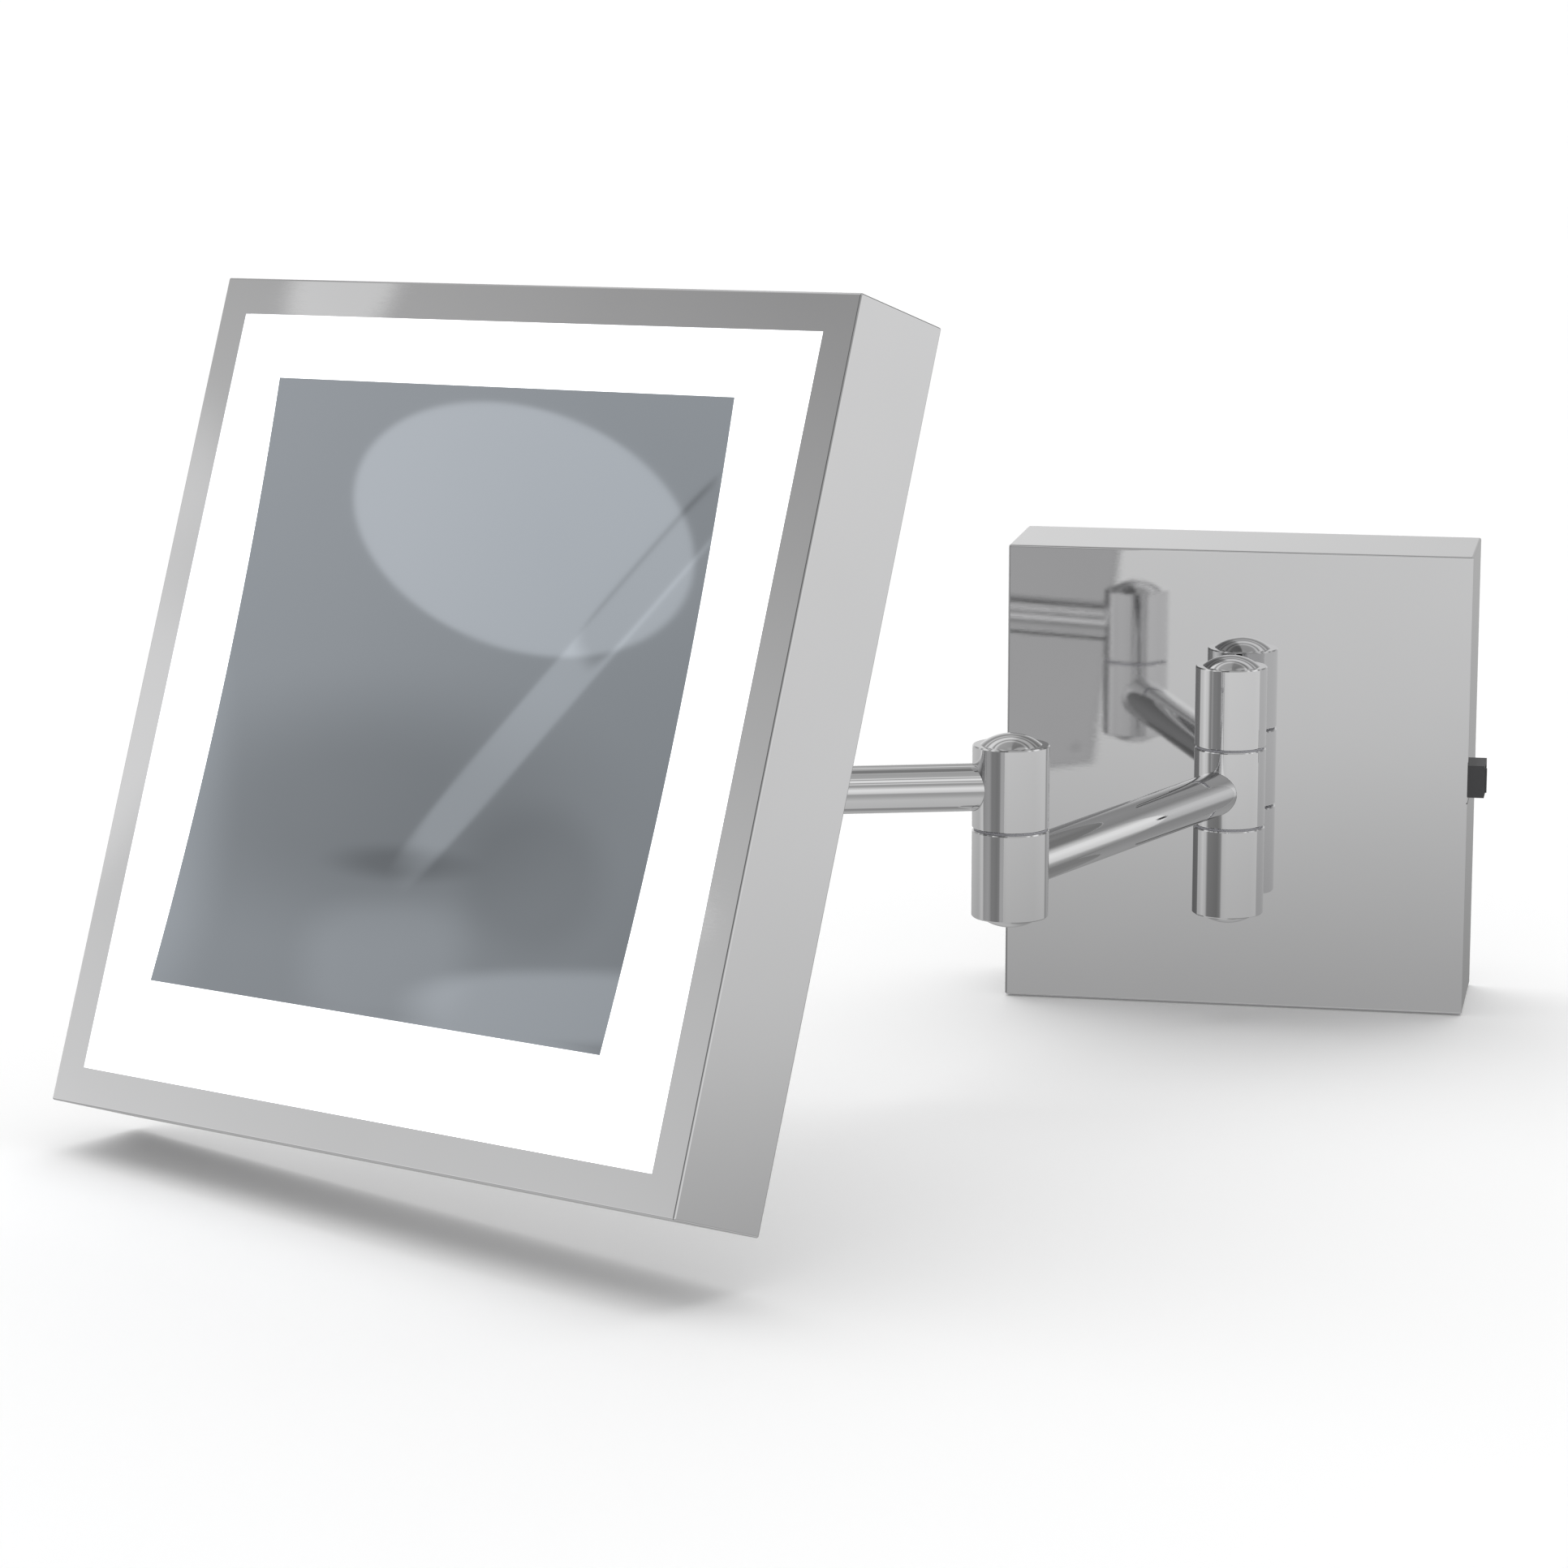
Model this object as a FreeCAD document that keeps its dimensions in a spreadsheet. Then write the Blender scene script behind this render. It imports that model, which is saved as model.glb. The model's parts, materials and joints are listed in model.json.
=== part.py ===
import math
import os

import FreeCAD
import Part
import Sketcher

# Wall-mounted, lit, square make-up mirror on a double folding arm.
# Row frame: origin at the centre of the wall bracket's back face, which lies on the wall.
# +Z is up, +X is to the right seen from the front, and the mirror stands out towards -Y.

doc = FreeCAD.newDocument("wall_mirror")

# ---------------------------------------------------------------- driving dimensions (mm, degrees)

DIMENSIONS = {
    "plate_side": 127.0,
    "plate_depth": 38.2,
    "cover_wall": 1.5,
    "cover_round": 0.6,
    "bracket_width": 116.0,
    "bracket_wall": 2.0,
    "bracket_flange": 14.0,
    "bracket_play": 0.5,
    "wall_hole_spacing": 96.0,
    "wall_hole_radius": 2.6,
    "box_slot_spacing": 83.3,
    "box_slot_radius": 2.2,
    "box_slot_length": 12.0,
    "cable_hole_radius": 11.0,
    "cover_screw_spacing": 70.0,
    "cover_screw_radius": 2.0,
    "cover_screw_back": 8.0,
    "grub_end": 1.0,
    "grub_socket_across": 2.0,
    "grub_socket_depth": 2.5,
    "seam_width": 0.3,
    "seam_depth": 0.3,
    "seam_z": -4.4,
    "knuckle_radius": 9.7,
    "knuckle_standoff": 53.5,
    "knuckle_chamfer": 0.3,
    "dome_rise": 2.8,
    "dome_radius": 7.75,
    "cap_spigot_radius": 6.4,
    "cap_spigot_length": 1.6,
    "counterbore_radius": 6.5,
    "counterbore_depth": 4.0,
    "washer_thick": 0.6,
    "washer_radius": 9.2,
    "pivot_radius": 4.0,
    "pivot_bore": 2.6,
    "bush_radius": 5.0,
    "bush_length": 4.2,
    "clip_radius": 6.0,
    "clip_groove_radius": 3.4,
    "clip_thick": 0.8,
    "clip_lift": 0.2,
    "clip_end": 1.0,
    "neck_window": 2.0,
    "neck_window_web": 2.0,
    "run_gap": 0.05,
    "fit_gap": 0.02,
    "wall_knuckle_low": -33.9,
    "wall_seam_low": -9.5,
    "wall_seam_high": 12.2,
    "wall_knuckle_high": 34.4,
    "elbow_low": -11.75,
    "elbow_seam": 10.75,
    "elbow_high": 32.1,
    "neck_knuckle_high": 44.9,
    "post_radius": 5.0,
    "post_bore": 2.0,
    "post_thread_radius": 4.0,
    "post_thread_length": 11.0,
    "stiffener_thick": 3.0,
    "stiffener_half_width": 20.0,
    "stiffener_overlap": 14.0,
    "post_nut_across": 13.0,
    "post_nut_thick": 5.0,
    "arm_radius": 6.0,
    "arm_wall": 1.2,
    "tube_seat": 6.5,
    "lead_hole_radius": 2.2,
    "lead_radius": 0.9,
    "lead_core": 1.4,
    "lead_end": 5.4,
    "inner_arm_height": 0.4,
    "inner_arm_length": 122.75,
    "outer_arm_height": 21.4,
    "outer_arm_length": 82.9,
    "neck_radius": 4.0,
    "neck_wall": 1.0,
    "neck_lead_hole": 1.6,
    "neck_height": 38.48,
    "neck_length": 46.4,
    "eye_radius": 5.5,
    "tongue_thick": 5.0,
    "tilt_washer_thick": 0.5,
    "tilt_washer_radius": 5.0,
    "ear_thick": 3.0,
    "tilt_screw_radius": 2.0,
    "tilt_screw_end": 0.6,
    "tilt_head_radius": 3.6,
    "tilt_head_thick": 2.0,
    "tilt_socket_across": 2.5,
    "tilt_socket_depth": 1.4,
    "tilt_nut_across": 7.0,
    "tilt_nut_thick": 2.4,
    "fork_stem": 6.5,
    "fork_clear": 1.5,
    "fork_socket": 3.0,
    "pivot_offset": 10.0,
    "flange_radius": 14.0,
    "flange_thick": 2.5,
    "face_washer_thick": 0.5,
    "face_washer_radius": 13.0,
    "boss_radius": 6.0,
    "boss_bore": 2.5,
    "boss_reach": 7.6,
    "boss_bore_web": 1.0,
    "stop_tab_reach": 8.0,
    "stop_tab_width": 2.4,
    "stop_notch_reach": 8.3,
    "stop_notch_width": 5.2,
    "lug_nut_across": 16.0,
    "lug_nut_thick": 2.8,
    "wave_washer_radius": 9.0,
    "wave_washer_thick": 0.5,
    "pivot_plate_side": 60.0,
    "pivot_plate_thick": 2.5,
    "head_side": 210.5,
    "head_depth": 29.1,
    "head_wall": 1.5,
    "head_round": 0.5,
    "rim_width": 9.2,
    "diffuser_thick": 3.0,
    "diffuser_play": 0.5,
    "mirror_side": 152.4,
    "mirror_raise": 3.55,
    "mirror_proud": 2.6,
    "mirror_sag": 3.1,
    "glass_thick": 3.0,
    "glass_gap": 0.3,
    "glue_gap": 0.05,
    "carrier_inset": 1.2,
    "carrier_wall": 2.0,
    "carrier_face": 7.0,
    "carrier_front": 2.0,
    "slab_back": 6.0,
    "slab_spare": 1.0,
    "tray_side": 206.0,
    "tray_notch": 13.5,
    "tray_wall": 1.2,
    "tray_back": 21.0,
    "block_side": 12.0,
    "block_front": 6.5,
    "block_play": 0.05,
    "cover_play": 0.1,
    "back_screw_radius": 1.2,
    "back_screw_head": 2.9,
    "back_screw_length": 8.0,
    "back_screw_spare": 1.0,
    "recess_length": 3.2,
    "recess_width": 0.5,
    "recess_depth": 0.8,
    "strip_length": 150.0,
    "strip_width": 8.0,
    "strip_board": 1.0,
    "strip_offset": 91.0,
    "led_count": 10,
    "led_side": 5.0,
    "led_height": 1.5,
    "driver_width": 36.0,
    "driver_length": 72.0,
    "driver_depth": 20.0,
    "driver_wall": 1.6,
    "driver_centre_x": -40.0,
    "driver_lid_thick": 2.0,
    "driver_ear": 9.0,
    "driver_ear_width": 10.0,
    "driver_ear_thick": 2.0,
    "driver_slot_width": 6.0,
    "driver_slot_depth": 4.0,
    "driver_rib_pitch": 8.0,
    "driver_rib_width": 2.0,
    "driver_rib_rise": 0.6,
    "driver_rib_inset": 4.0,
    "driver_screw_length": 4.0,
    "driver_head_radius": 2.8,
    "driver_head_thick": 2.0,
    "driver_head_slot": 0.8,
    "driver_screw_radius": 1.5,
    "board_thick": 1.6,
    "board_play": 0.5,
    "board_height": 6.0,
    "terminal_width": 24.0,
    "terminal_height": 16.0,
    "terminal_depth": 12.0,
    "terminal_x": 28.0,
    "terminal_z": -37.0,
    "terminal_split": 1.6,
    "terminal_wire_radius": 1.8,
    "terminal_wire_depth": 6.0,
    "terminal_screw_radius": 1.6,
    "terminal_screw_depth": 4.0,
    "switch_y": -31.4,
    "switch_z": 1.65,
    "collar_length": 12.4,
    "collar_height": 8.9,
    "collar_rise": 4.4,
    "switch_body_length": 10.0,
    "switch_body_height": 7.3,
    "switch_body_depth": 13.5,
    "switch_cavity_length": 10.4,
    "switch_cavity_height": 6.9,
    "switch_cavity_depth": 4.3,
    "spade_pitch": 3.4,
    "spade_thick": 0.8,
    "spade_width": 4.8,
    "spade_length": 6.0,
    "rocker_length": 9.2,
    "rocker_height": 6.7,
    "rocker_pivot_rise": 1.6,
    "rocker_keel": 1.4,
    "rocker_skirt": 0.3,
    "rocker_valley": 2.0,
    "rocker_rise": 0.6,
    "rocker_edge": 0.3,
    "rocker_pin_radius": 0.9,
    "rocker_pin_length": 8.3,
    "wall_angle": -20.7,
    "elbow_angle": -51.8,
    "head_yaw": -31.67,
    "tilt_angle": -20.0,
    "level_angle": -2.65,
    "rocker_angle": 12.0,
}

sheet = doc.addObject("Spreadsheet::Sheet", "Dims")
for row, (alias, number) in enumerate(DIMENSIONS.items(), start=1):
    sheet.set(f"A{row}", alias)
    sheet.set(f"B{row}", str(number))
    sheet.setAlias(f"B{row}", alias)
doc.recompute()


class Size:
    """A dimension that carries both its number and its spreadsheet formula."""

    def __init__(self, number, formula=None):
        self.number = float(number)
        self.formula = formula or f"{self.number:.6f}"

    def combine(self, sign, other, number):
        return Size(number, f"({self.formula} {sign} {other.formula})")

    def __add__(self, other):
        other = as_size(other)
        return self.combine("+", other, self.number + other.number)

    def __sub__(self, other):
        other = as_size(other)
        return self.combine("-", other, self.number - other.number)

    def __mul__(self, other):
        other = as_size(other)
        return self.combine("*", other, self.number * other.number)

    def __truediv__(self, other):
        other = as_size(other)
        return self.combine("/", other, self.number / other.number)

    def __radd__(self, other):
        return as_size(other) + self

    def __rsub__(self, other):
        return as_size(other) - self

    def __rmul__(self, other):
        return as_size(other) * self

    def __neg__(self):
        return Size(0) - self


def as_size(value):
    return value if isinstance(value, Size) else Size(value)


def bind(thing, **properties):
    """Ties properties of an object to the spreadsheet."""
    for name, value in properties.items():
        thing.setExpression(name, as_size(value).formula)


class Dimensions:
    """Every spreadsheet cell as a Size, read as an attribute."""


dim = Dimensions()
for alias in DIMENSIONS:
    setattr(dim, alias, Size(sheet.get(alias), f"Dims.{alias}"))

# ---------------------------------------------------------------- places

X_AXIS = FreeCAD.Vector(1, 0, 0)
Y_AXIS = FreeCAD.Vector(0, 1, 0)
Z_AXIS = FreeCAD.Vector(0, 0, 1)
STRAIGHT_OUT = -90.0


def turned(x, y, z, axis, angle):
    return FreeCAD.Placement(FreeCAD.Vector(x, y, z), FreeCAD.Rotation(axis, angle))


# An arm's frame has its own axis of swivel as Z and runs along +X; heights stay those of the row frame.
inner_direction = STRAIGHT_OUT + dim.wall_angle.number
outer_direction = inner_direction + dim.elbow_angle.number
neck_direction = STRAIGHT_OUT + dim.head_yaw.number

WALL = FreeCAD.Placement()
KNUCKLE = turned(0, -dim.knuckle_standoff.number, 0, Z_AXIS, 0)
INNER = turned(0, -dim.knuckle_standoff.number, 0, Z_AXIS, inner_direction)
ELBOW_END = turned(dim.inner_arm_length.number, 0, 0, Z_AXIS, 180)
OUTER = INNER * turned(dim.inner_arm_length.number, 0, 0, Z_AXIS, dim.elbow_angle.number)
HEAD_END = turned(dim.outer_arm_length.number, 0, 0, Z_AXIS, 180)
NECK = OUTER * turned(dim.outer_arm_length.number, 0, 0, Z_AXIS, neck_direction - outer_direction)

# The lug's frame is at the tilt pivot, with +Y towards its neck at right angles to the mirror;
# the head's frame is at the middle of its front face, turned a little more about that same +Y.
LUG = (
    NECK
    * turned(dim.neck_length.number, 0, dim.neck_height.number, Z_AXIS, -STRAIGHT_OUT)
    * turned(0, 0, 0, X_AXIS, dim.tilt_angle.number)
)
HEAD = (
    LUG
    * turned(0, 0, 0, Y_AXIS, dim.level_angle.number)
    * turned(0, -(dim.head_depth + dim.pivot_offset).number, 0, Y_AXIS, 0)
)

# ---------------------------------------------------------------- small builders

subparts = []
scratch_count = 0


def scratch_name(word):
    global scratch_count
    scratch_count += 1
    return f"{word}_{scratch_count}"


def finished(label, piece, frame=WALL):
    """Names a sub-part and puts it in its frame."""
    piece.Label = label
    piece.Placement = frame
    subparts.append(piece)
    return piece


def box(x, y, z):
    """A block between two sizes along each axis."""
    piece = doc.addObject("Part::Box", scratch_name("block"))
    bind(piece, Length=as_size(x[1]) - x[0], Width=as_size(y[1]) - y[0], Height=as_size(z[1]) - z[0])
    move(piece, x[0], y[0], z[0])
    return piece


def move(piece, x, y, z):
    for axis, value in zip("xyz", (x, y, z)):
        piece.setExpression(f"Placement.Base.{axis}", as_size(value).formula)


ALONG = {
    "x": FreeCAD.Rotation(Y_AXIS, 90),
    "y": FreeCAD.Rotation(X_AXIS, -90),
    "z": FreeCAD.Rotation(),
}


def rod(radius, length, start, along="z"):
    """A cylinder from a start point, along a positive axis."""
    piece = doc.addObject("Part::Cylinder", scratch_name("rod"))
    piece.Placement.Rotation = ALONG[along]
    bind(piece, Radius=radius, Height=length)
    move(piece, *start)
    return piece


def cone(radius_start, radius_end, length, start, along="z"):
    piece = doc.addObject("Part::Cone", scratch_name("cone"))
    piece.Placement.Rotation = ALONG[along]
    bind(piece, Radius1=radius_start, Radius2=radius_end, Height=length)
    move(piece, *start)
    return piece


def hexagon(across, length, start, along="y"):
    piece = doc.addObject("Part::Prism", scratch_name("hexagon"))
    piece.Polygon = 6
    piece.Placement.Rotation = ALONG[along]
    bind(piece, Circumradius=as_size(across) / math.sqrt(3), Height=length)
    move(piece, *start)
    return piece


def joined(*pieces):
    """One object of several pieces: fused where they meet, separate solids where they don't."""
    if len(pieces) == 1:
        return pieces[0]
    piece = doc.addObject("Part::MultiFuse", scratch_name("joined"))
    piece.Shapes = list(pieces)
    return piece


def cut(base, *tools):
    piece = doc.addObject("Part::Cut", scratch_name("cut"))
    piece.Base = base
    piece.Tool = joined(*tools)
    return piece


def common(first, second):
    piece = doc.addObject("Part::MultiCommon", scratch_name("common"))
    piece.Shapes = [first, second]
    return piece


def ring(outer, inner, length, start, along="z"):
    """A washer, bush or tube."""
    return cut(rod(outer, length, start, along), rod(inner, length, start, along))


def new_body(label):
    return doc.addObject("PartDesign::Body", scratch_name(label))


def new_sketch(body, role, offset=0):
    """A sketch on one of the body's origin planes, moved along that plane's normal."""
    sketch = body.newObject("Sketcher::SketchObject", scratch_name("sketch"))
    plane = next(item for item in body.Origin.OriginFeatures if item.Role == role)
    sketch.AttachmentSupport = [(plane, "")]
    sketch.MapMode = "FlatFace"
    sketch.setExpression("AttachmentOffset.Base.z", as_size(offset).formula)
    return sketch


ORIGIN_POINT = (-1, 1)
ACROSS_AXIS = -1
UP_AXIS = -2
START = 1
END = 2
CENTRE = 3


def fix_point(sketch, edge, point, x, y):
    """Ties a point to its place, as distances from the sketch's origin."""
    places = (("DistanceX", x, UP_AXIS), ("DistanceY", y, ACROSS_AXIS))
    for kind, value, axis_line in places:
        value = as_size(value)
        if abs(value.number) < 1e-9:
            sketch.addConstraint(Sketcher.Constraint("PointOnObject", edge, point, axis_line))
            continue
        index = sketch.addConstraint(
            Sketcher.Constraint(kind, *ORIGIN_POINT, edge, point, value.number)
        )
        sketch.setExpression(f"Constraints[{index}]", value.formula)


def outline(sketch, points, dome=None):
    """A closed outline through the points; the edge numbered dome is an arc centred on the up axis."""
    vectors = [FreeCAD.Vector(as_size(x).number, as_size(y).number, 0) for x, y in points]
    count = len(points)
    for edge in range(count):
        start = vectors[edge]
        end = vectors[(edge + 1) % count]
        if edge == dome:
            sketch.addGeometry(dome_arc(start, end), False)
        else:
            sketch.addGeometry(Part.LineSegment(start, end), False)
    for edge, (x, y) in enumerate(points):
        if edge == dome:
            continue
        fix_point(sketch, edge, START, x, y)
    if dome is None:
        for edge in range(count):
            sketch.addConstraint(
                Sketcher.Constraint("Coincident", edge, END, (edge + 1) % count, START)
            )
        return
    arc_start, arc_end = arc_ends(vectors[dome], vectors[(dome + 1) % count])
    for edge in range(count):
        following = (edge + 1) % count
        leaving = arc_end if edge == dome else END
        entering = arc_start if following == dome else START
        sketch.addConstraint(Sketcher.Constraint("Coincident", edge, leaving, following, entering))
    sketch.addConstraint(Sketcher.Constraint("PointOnObject", dome, CENTRE, UP_AXIS))
    fix_point(sketch, dome, arc_start, *points[dome])


def dome_arc(rim, apex):
    """The arc of a shallow dome from its rim to its apex on the up axis."""
    rise = apex.y - rim.y
    reach = rim.x
    radius = (reach**2 + rise**2) / (2 * abs(rise))
    side = 1 if rise > 0 else -1
    centre = FreeCAD.Vector(0, apex.y - side * radius, 0)
    middle_way = FreeCAD.Vector(reach / 2, 0, 0)
    middle_way.y = centre.y + side * (radius**2 - middle_way.x**2) ** 0.5
    return Part.Arc(rim, middle_way, apex)


def arc_ends(rim, apex):
    """Which of a sketched arc's points are its rim and apex: an arc is stored anticlockwise."""
    return (START, END) if apex.y > rim.y else (END, START)


def rectangle(sketch, width, height, x=0, y=0):
    left = as_size(x) - as_size(width) / 2
    low = as_size(y) - as_size(height) / 2
    right = left + width
    high = low + height
    outline(sketch, [(left, low), (right, low), (right, high), (left, high)])


def circle(sketch, radius, x=0, y=0):
    radius, x, y = as_size(radius), as_size(x), as_size(y)
    centre = FreeCAD.Vector(x.number, y.number, 0)
    edge = sketch.addGeometry(Part.Circle(centre, FreeCAD.Vector(0, 0, 1), radius.number), False)
    index = sketch.addConstraint(Sketcher.Constraint("Radius", edge, radius.number))
    sketch.setExpression(f"Constraints[{index}]", radius.formula)
    fix_point(sketch, edge, CENTRE, x, y)


def slot(sketch, radius, length, x, y):
    """A round-ended slot that runs up and down in the sketch."""
    radius, length, x, y = as_size(radius), as_size(length), as_size(x), as_size(y)
    half = length / 2 - radius
    top = FreeCAD.Vector(x.number, (y + half).number, 0)
    low = FreeCAD.Vector(x.number, (y - half).number, 0)
    side = FreeCAD.Vector(radius.number, 0, 0)
    above = FreeCAD.Vector(0, radius.number, 0)
    right = sketch.addGeometry(Part.LineSegment(low + side, top + side), False)
    upper = sketch.addGeometry(Part.Arc(top + side, top + above, top - side), False)
    left = sketch.addGeometry(Part.LineSegment(top - side, low - side), False)
    lower = sketch.addGeometry(Part.Arc(low - side, low - above, low + side), False)
    for first, second in ((right, upper), (upper, left), (left, lower), (lower, right)):
        sketch.addConstraint(Sketcher.Constraint("Tangent", first, END, second, START))
    index = sketch.addConstraint(Sketcher.Constraint("Radius", upper, radius.number))
    sketch.setExpression(f"Constraints[{index}]", radius.formula)
    fix_point(sketch, upper, CENTRE, x, y + half)
    fix_point(sketch, lower, CENTRE, x, y - half)


def pad(body, sketch, length, both_ways=False):
    feature = body.newObject("PartDesign::Pad", scratch_name("pad"))
    feature.Profile = sketch
    feature.Midplane = both_ways
    bind(feature, Length=length)
    doc.recompute()
    return feature


def pocket(body, sketch, length, reverse=False):
    """A pocket, checked to have removed material."""
    volume = body.Shape.Volume
    feature = body.newObject("PartDesign::Pocket", scratch_name("pocket"))
    feature.Profile = sketch
    feature.Reversed = reverse
    bind(feature, Length=length)
    doc.recompute()
    if body.Shape.Volume > volume - 0.01:
        raise SystemExit(f"{feature.Name} of {body.Name} removes nothing")
    return feature


def revolution(body, sketch):
    feature = body.newObject("PartDesign::Revolution", scratch_name("revolution"))
    feature.Profile = sketch
    feature.ReferenceAxis = (sketch, ["V_Axis"])
    feature.Angle = 360
    doc.recompute()
    return feature


def dress(body, kind, feature, size, chosen):
    """A fillet or chamfer on the chosen edges of a feature."""
    names = [f"Edge{i}" for i, edge in enumerate(feature.Shape.Edges, start=1) if chosen(edge)]
    dressed = body.newObject(kind, scratch_name("dressed"))
    dressed.Base = (feature, names)
    bind(dressed, **{"Radius" if kind.endswith("Fillet") else "Size": size})
    doc.recompute()
    return dressed


def polar(body, feature, role, count):
    """Repeats a feature evenly about one of the body's axes."""
    pattern = body.newObject("PartDesign::PolarPattern", scratch_name("pattern"))
    pattern.Originals = [feature]
    axis = next(item for item in body.Origin.OriginFeatures if item.Role == role)
    pattern.Axis = (axis, [""])
    pattern.Angle = 360
    pattern.Occurrences = count
    body.Tip = pattern
    doc.recompute()
    return pattern


def is_rim(radius):
    """Chooses round edges of one radius."""

    def chosen(edge):
        curve = edge.Curve
        return curve.TypeId == "Part::GeomCircle" and abs(curve.Radius - as_size(radius).number) < 1e-4

    return chosen


def barrel(label, face, rim, bore, frame, sockets, capped=True):
    """A knuckle barrel from its seam face to its capped rim, with side sockets for tubes or posts.

    Each socket is (direction, height, radius, lead hole radius); a hub has no cap, so no counterbore.
    """
    body = new_body(label)
    sketch = new_sketch(body, "XZ_Plane")
    inside = as_size(bore)
    step = as_size(1 if (rim - face).number > 0 else -1) * dim.counterbore_depth
    points = [(inside, face), (dim.knuckle_radius, face), (dim.knuckle_radius, rim)]
    if capped:
        points += [(dim.counterbore_radius, rim), (dim.counterbore_radius, rim - step)]
        points += [(inside, rim - step)]
    else:
        points += [(inside, rim)]
    outline(sketch, points)
    turned_shape = revolution(body, sketch)
    dress(body, "PartDesign::Chamfer", turned_shape, dim.knuckle_chamfer, is_rim(dim.knuckle_radius))
    for direction, height, radius, lead_hole in sockets:
        # The X socket opens towards +X and the Y socket towards +Y.
        plane, side = ("YZ_Plane", 1) if direction == "x" else ("XZ_Plane", -1)
        seat = new_sketch(body, plane, side * dim.tube_seat)
        circle(seat, radius, 0, height)
        pocket(body, seat, dim.knuckle_radius, reverse=direction == "x")
        if lead_hole is None:
            continue
        hole = new_sketch(body, plane)
        circle(hole, lead_hole, 0, height)
        pocket(body, hole, dim.knuckle_radius, reverse=direction == "x")
    return finished(label, body, frame)


def cap(rim, upward):
    """A domed cap, narrower than its barrel, with the spigot that plugs the barrel's counterbore."""
    side = 1 if upward else -1
    body = new_body("cap")
    sketch = new_sketch(body, "XZ_Plane")
    inner = rim - side * dim.cap_spigot_length
    apex = rim + side * dim.dome_rise
    points = [
        (0, inner),
        (dim.cap_spigot_radius, inner),
        (dim.cap_spigot_radius, rim),
        (dim.dome_radius, rim),
        (0, apex),
    ]
    outline(sketch, points, dome=3)
    revolution(body, sketch)
    return body


def bush(low):
    return ring(dim.bush_radius, dim.pivot_radius + dim.run_gap, dim.bush_length, (0, 0, low))


def seam_washer(seam):
    low = seam - dim.washer_thick / 2
    return ring(dim.washer_radius, dim.pivot_radius + dim.run_gap, dim.washer_thick, (0, 0, low))


def pivot_tube(low, high, windows, clip_low=None):
    """A hollow pivot with windows for the lead, and a groove for its clip."""
    tools = [rod(dim.pivot_bore, high - low, (0, 0, low))]
    tools += windows
    if clip_low is not None:
        tools.append(ring(dim.bush_radius, dim.clip_groove_radius, dim.clip_thick, (0, 0, clip_low)))
    return cut(rod(dim.pivot_radius, high - low, (0, 0, low)), *tools)


def window(height, toward):
    """A window through one side of a pivot tube, towards +X or +Y."""
    half = dim.lead_hole_radius
    reach = dim.bush_radius
    z = (height - half, height + half)
    if toward == "x":
        return box((0, reach), (-half, half), z)
    return box((-half, half), (0, reach), z)


def clip(low):
    return ring(dim.clip_radius, dim.clip_groove_radius + dim.run_gap, dim.clip_thick, (0, 0, low))


def arm_tube(radius, wall, length, height):
    start = (dim.tube_seat, 0, height)
    return ring(radius, radius - wall, length - 2 * dim.tube_seat, start, "x")


def lead(length, height):
    """A flat two-core lead that runs straight through an arm's tube."""
    cores = []
    for side in (-1, 1):
        start = (dim.lead_end, side * dim.lead_core / 2, height)
        cores.append(rod(dim.lead_radius, length - 2 * dim.lead_end, start, "x"))
    return joined(*cores)


# ---------------------------------------------------------------- wall unit


def make_wall_bracket():
    """A folded steel back plate with a flange along its top and its bottom."""
    body = new_body("wall_bracket")
    half = dim.plate_side / 2 - dim.cover_wall - dim.bracket_play
    wall, flange = dim.bracket_wall, dim.bracket_flange
    profile = new_sketch(body, "YZ_Plane")
    points = [(0, -half), (0, half), (-flange, half), (-flange, half - wall)]
    points += [(-wall, half - wall), (-wall, wall - half), (-flange, wall - half), (-flange, -half)]
    outline(profile, points)
    pad(body, profile, dim.bracket_width, both_ways=True)

    middle = new_sketch(body, "XZ_Plane")
    circle(middle, dim.cable_hole_radius)
    pocket(body, middle, 2 * wall, reverse=True)
    corner = new_sketch(body, "XZ_Plane")
    circle(corner, dim.wall_hole_radius, dim.wall_hole_spacing / 2, dim.wall_hole_spacing / 2)
    polar(body, pocket(body, corner, 2 * wall, reverse=True), "Y_Axis", 4)
    upright = new_sketch(body, "XZ_Plane")
    slot(upright, dim.box_slot_radius, dim.box_slot_length, 0, dim.box_slot_spacing / 2)
    polar(body, pocket(body, upright, 2 * wall, reverse=True), "Y_Axis", 2)

    # The threaded holes for the cover's grub screws in the bottom flange, and for the driver's screws.
    screws = new_sketch(body, "XY_Plane", wall - half)
    for side in (-1, 1):
        circle(screws, thread_hole(dim.cover_screw_radius), side * dim.cover_screw_spacing / 2,
               -dim.cover_screw_back)
    pocket(body, screws, 2 * wall)
    feet = new_sketch(body, "XZ_Plane")
    for side in (-1, 1):
        circle(feet, thread_hole(dim.driver_screw_radius), dim.driver_centre_x, side * driver_ear_z())
    pocket(body, feet, 2 * wall, reverse=True)
    finished("wall_bracket", body)


def thread_hole(screw_radius):
    return screw_radius + dim.fit_gap


def driver_ear_z():
    return dim.driver_length / 2 + dim.driver_ear / 2


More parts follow.
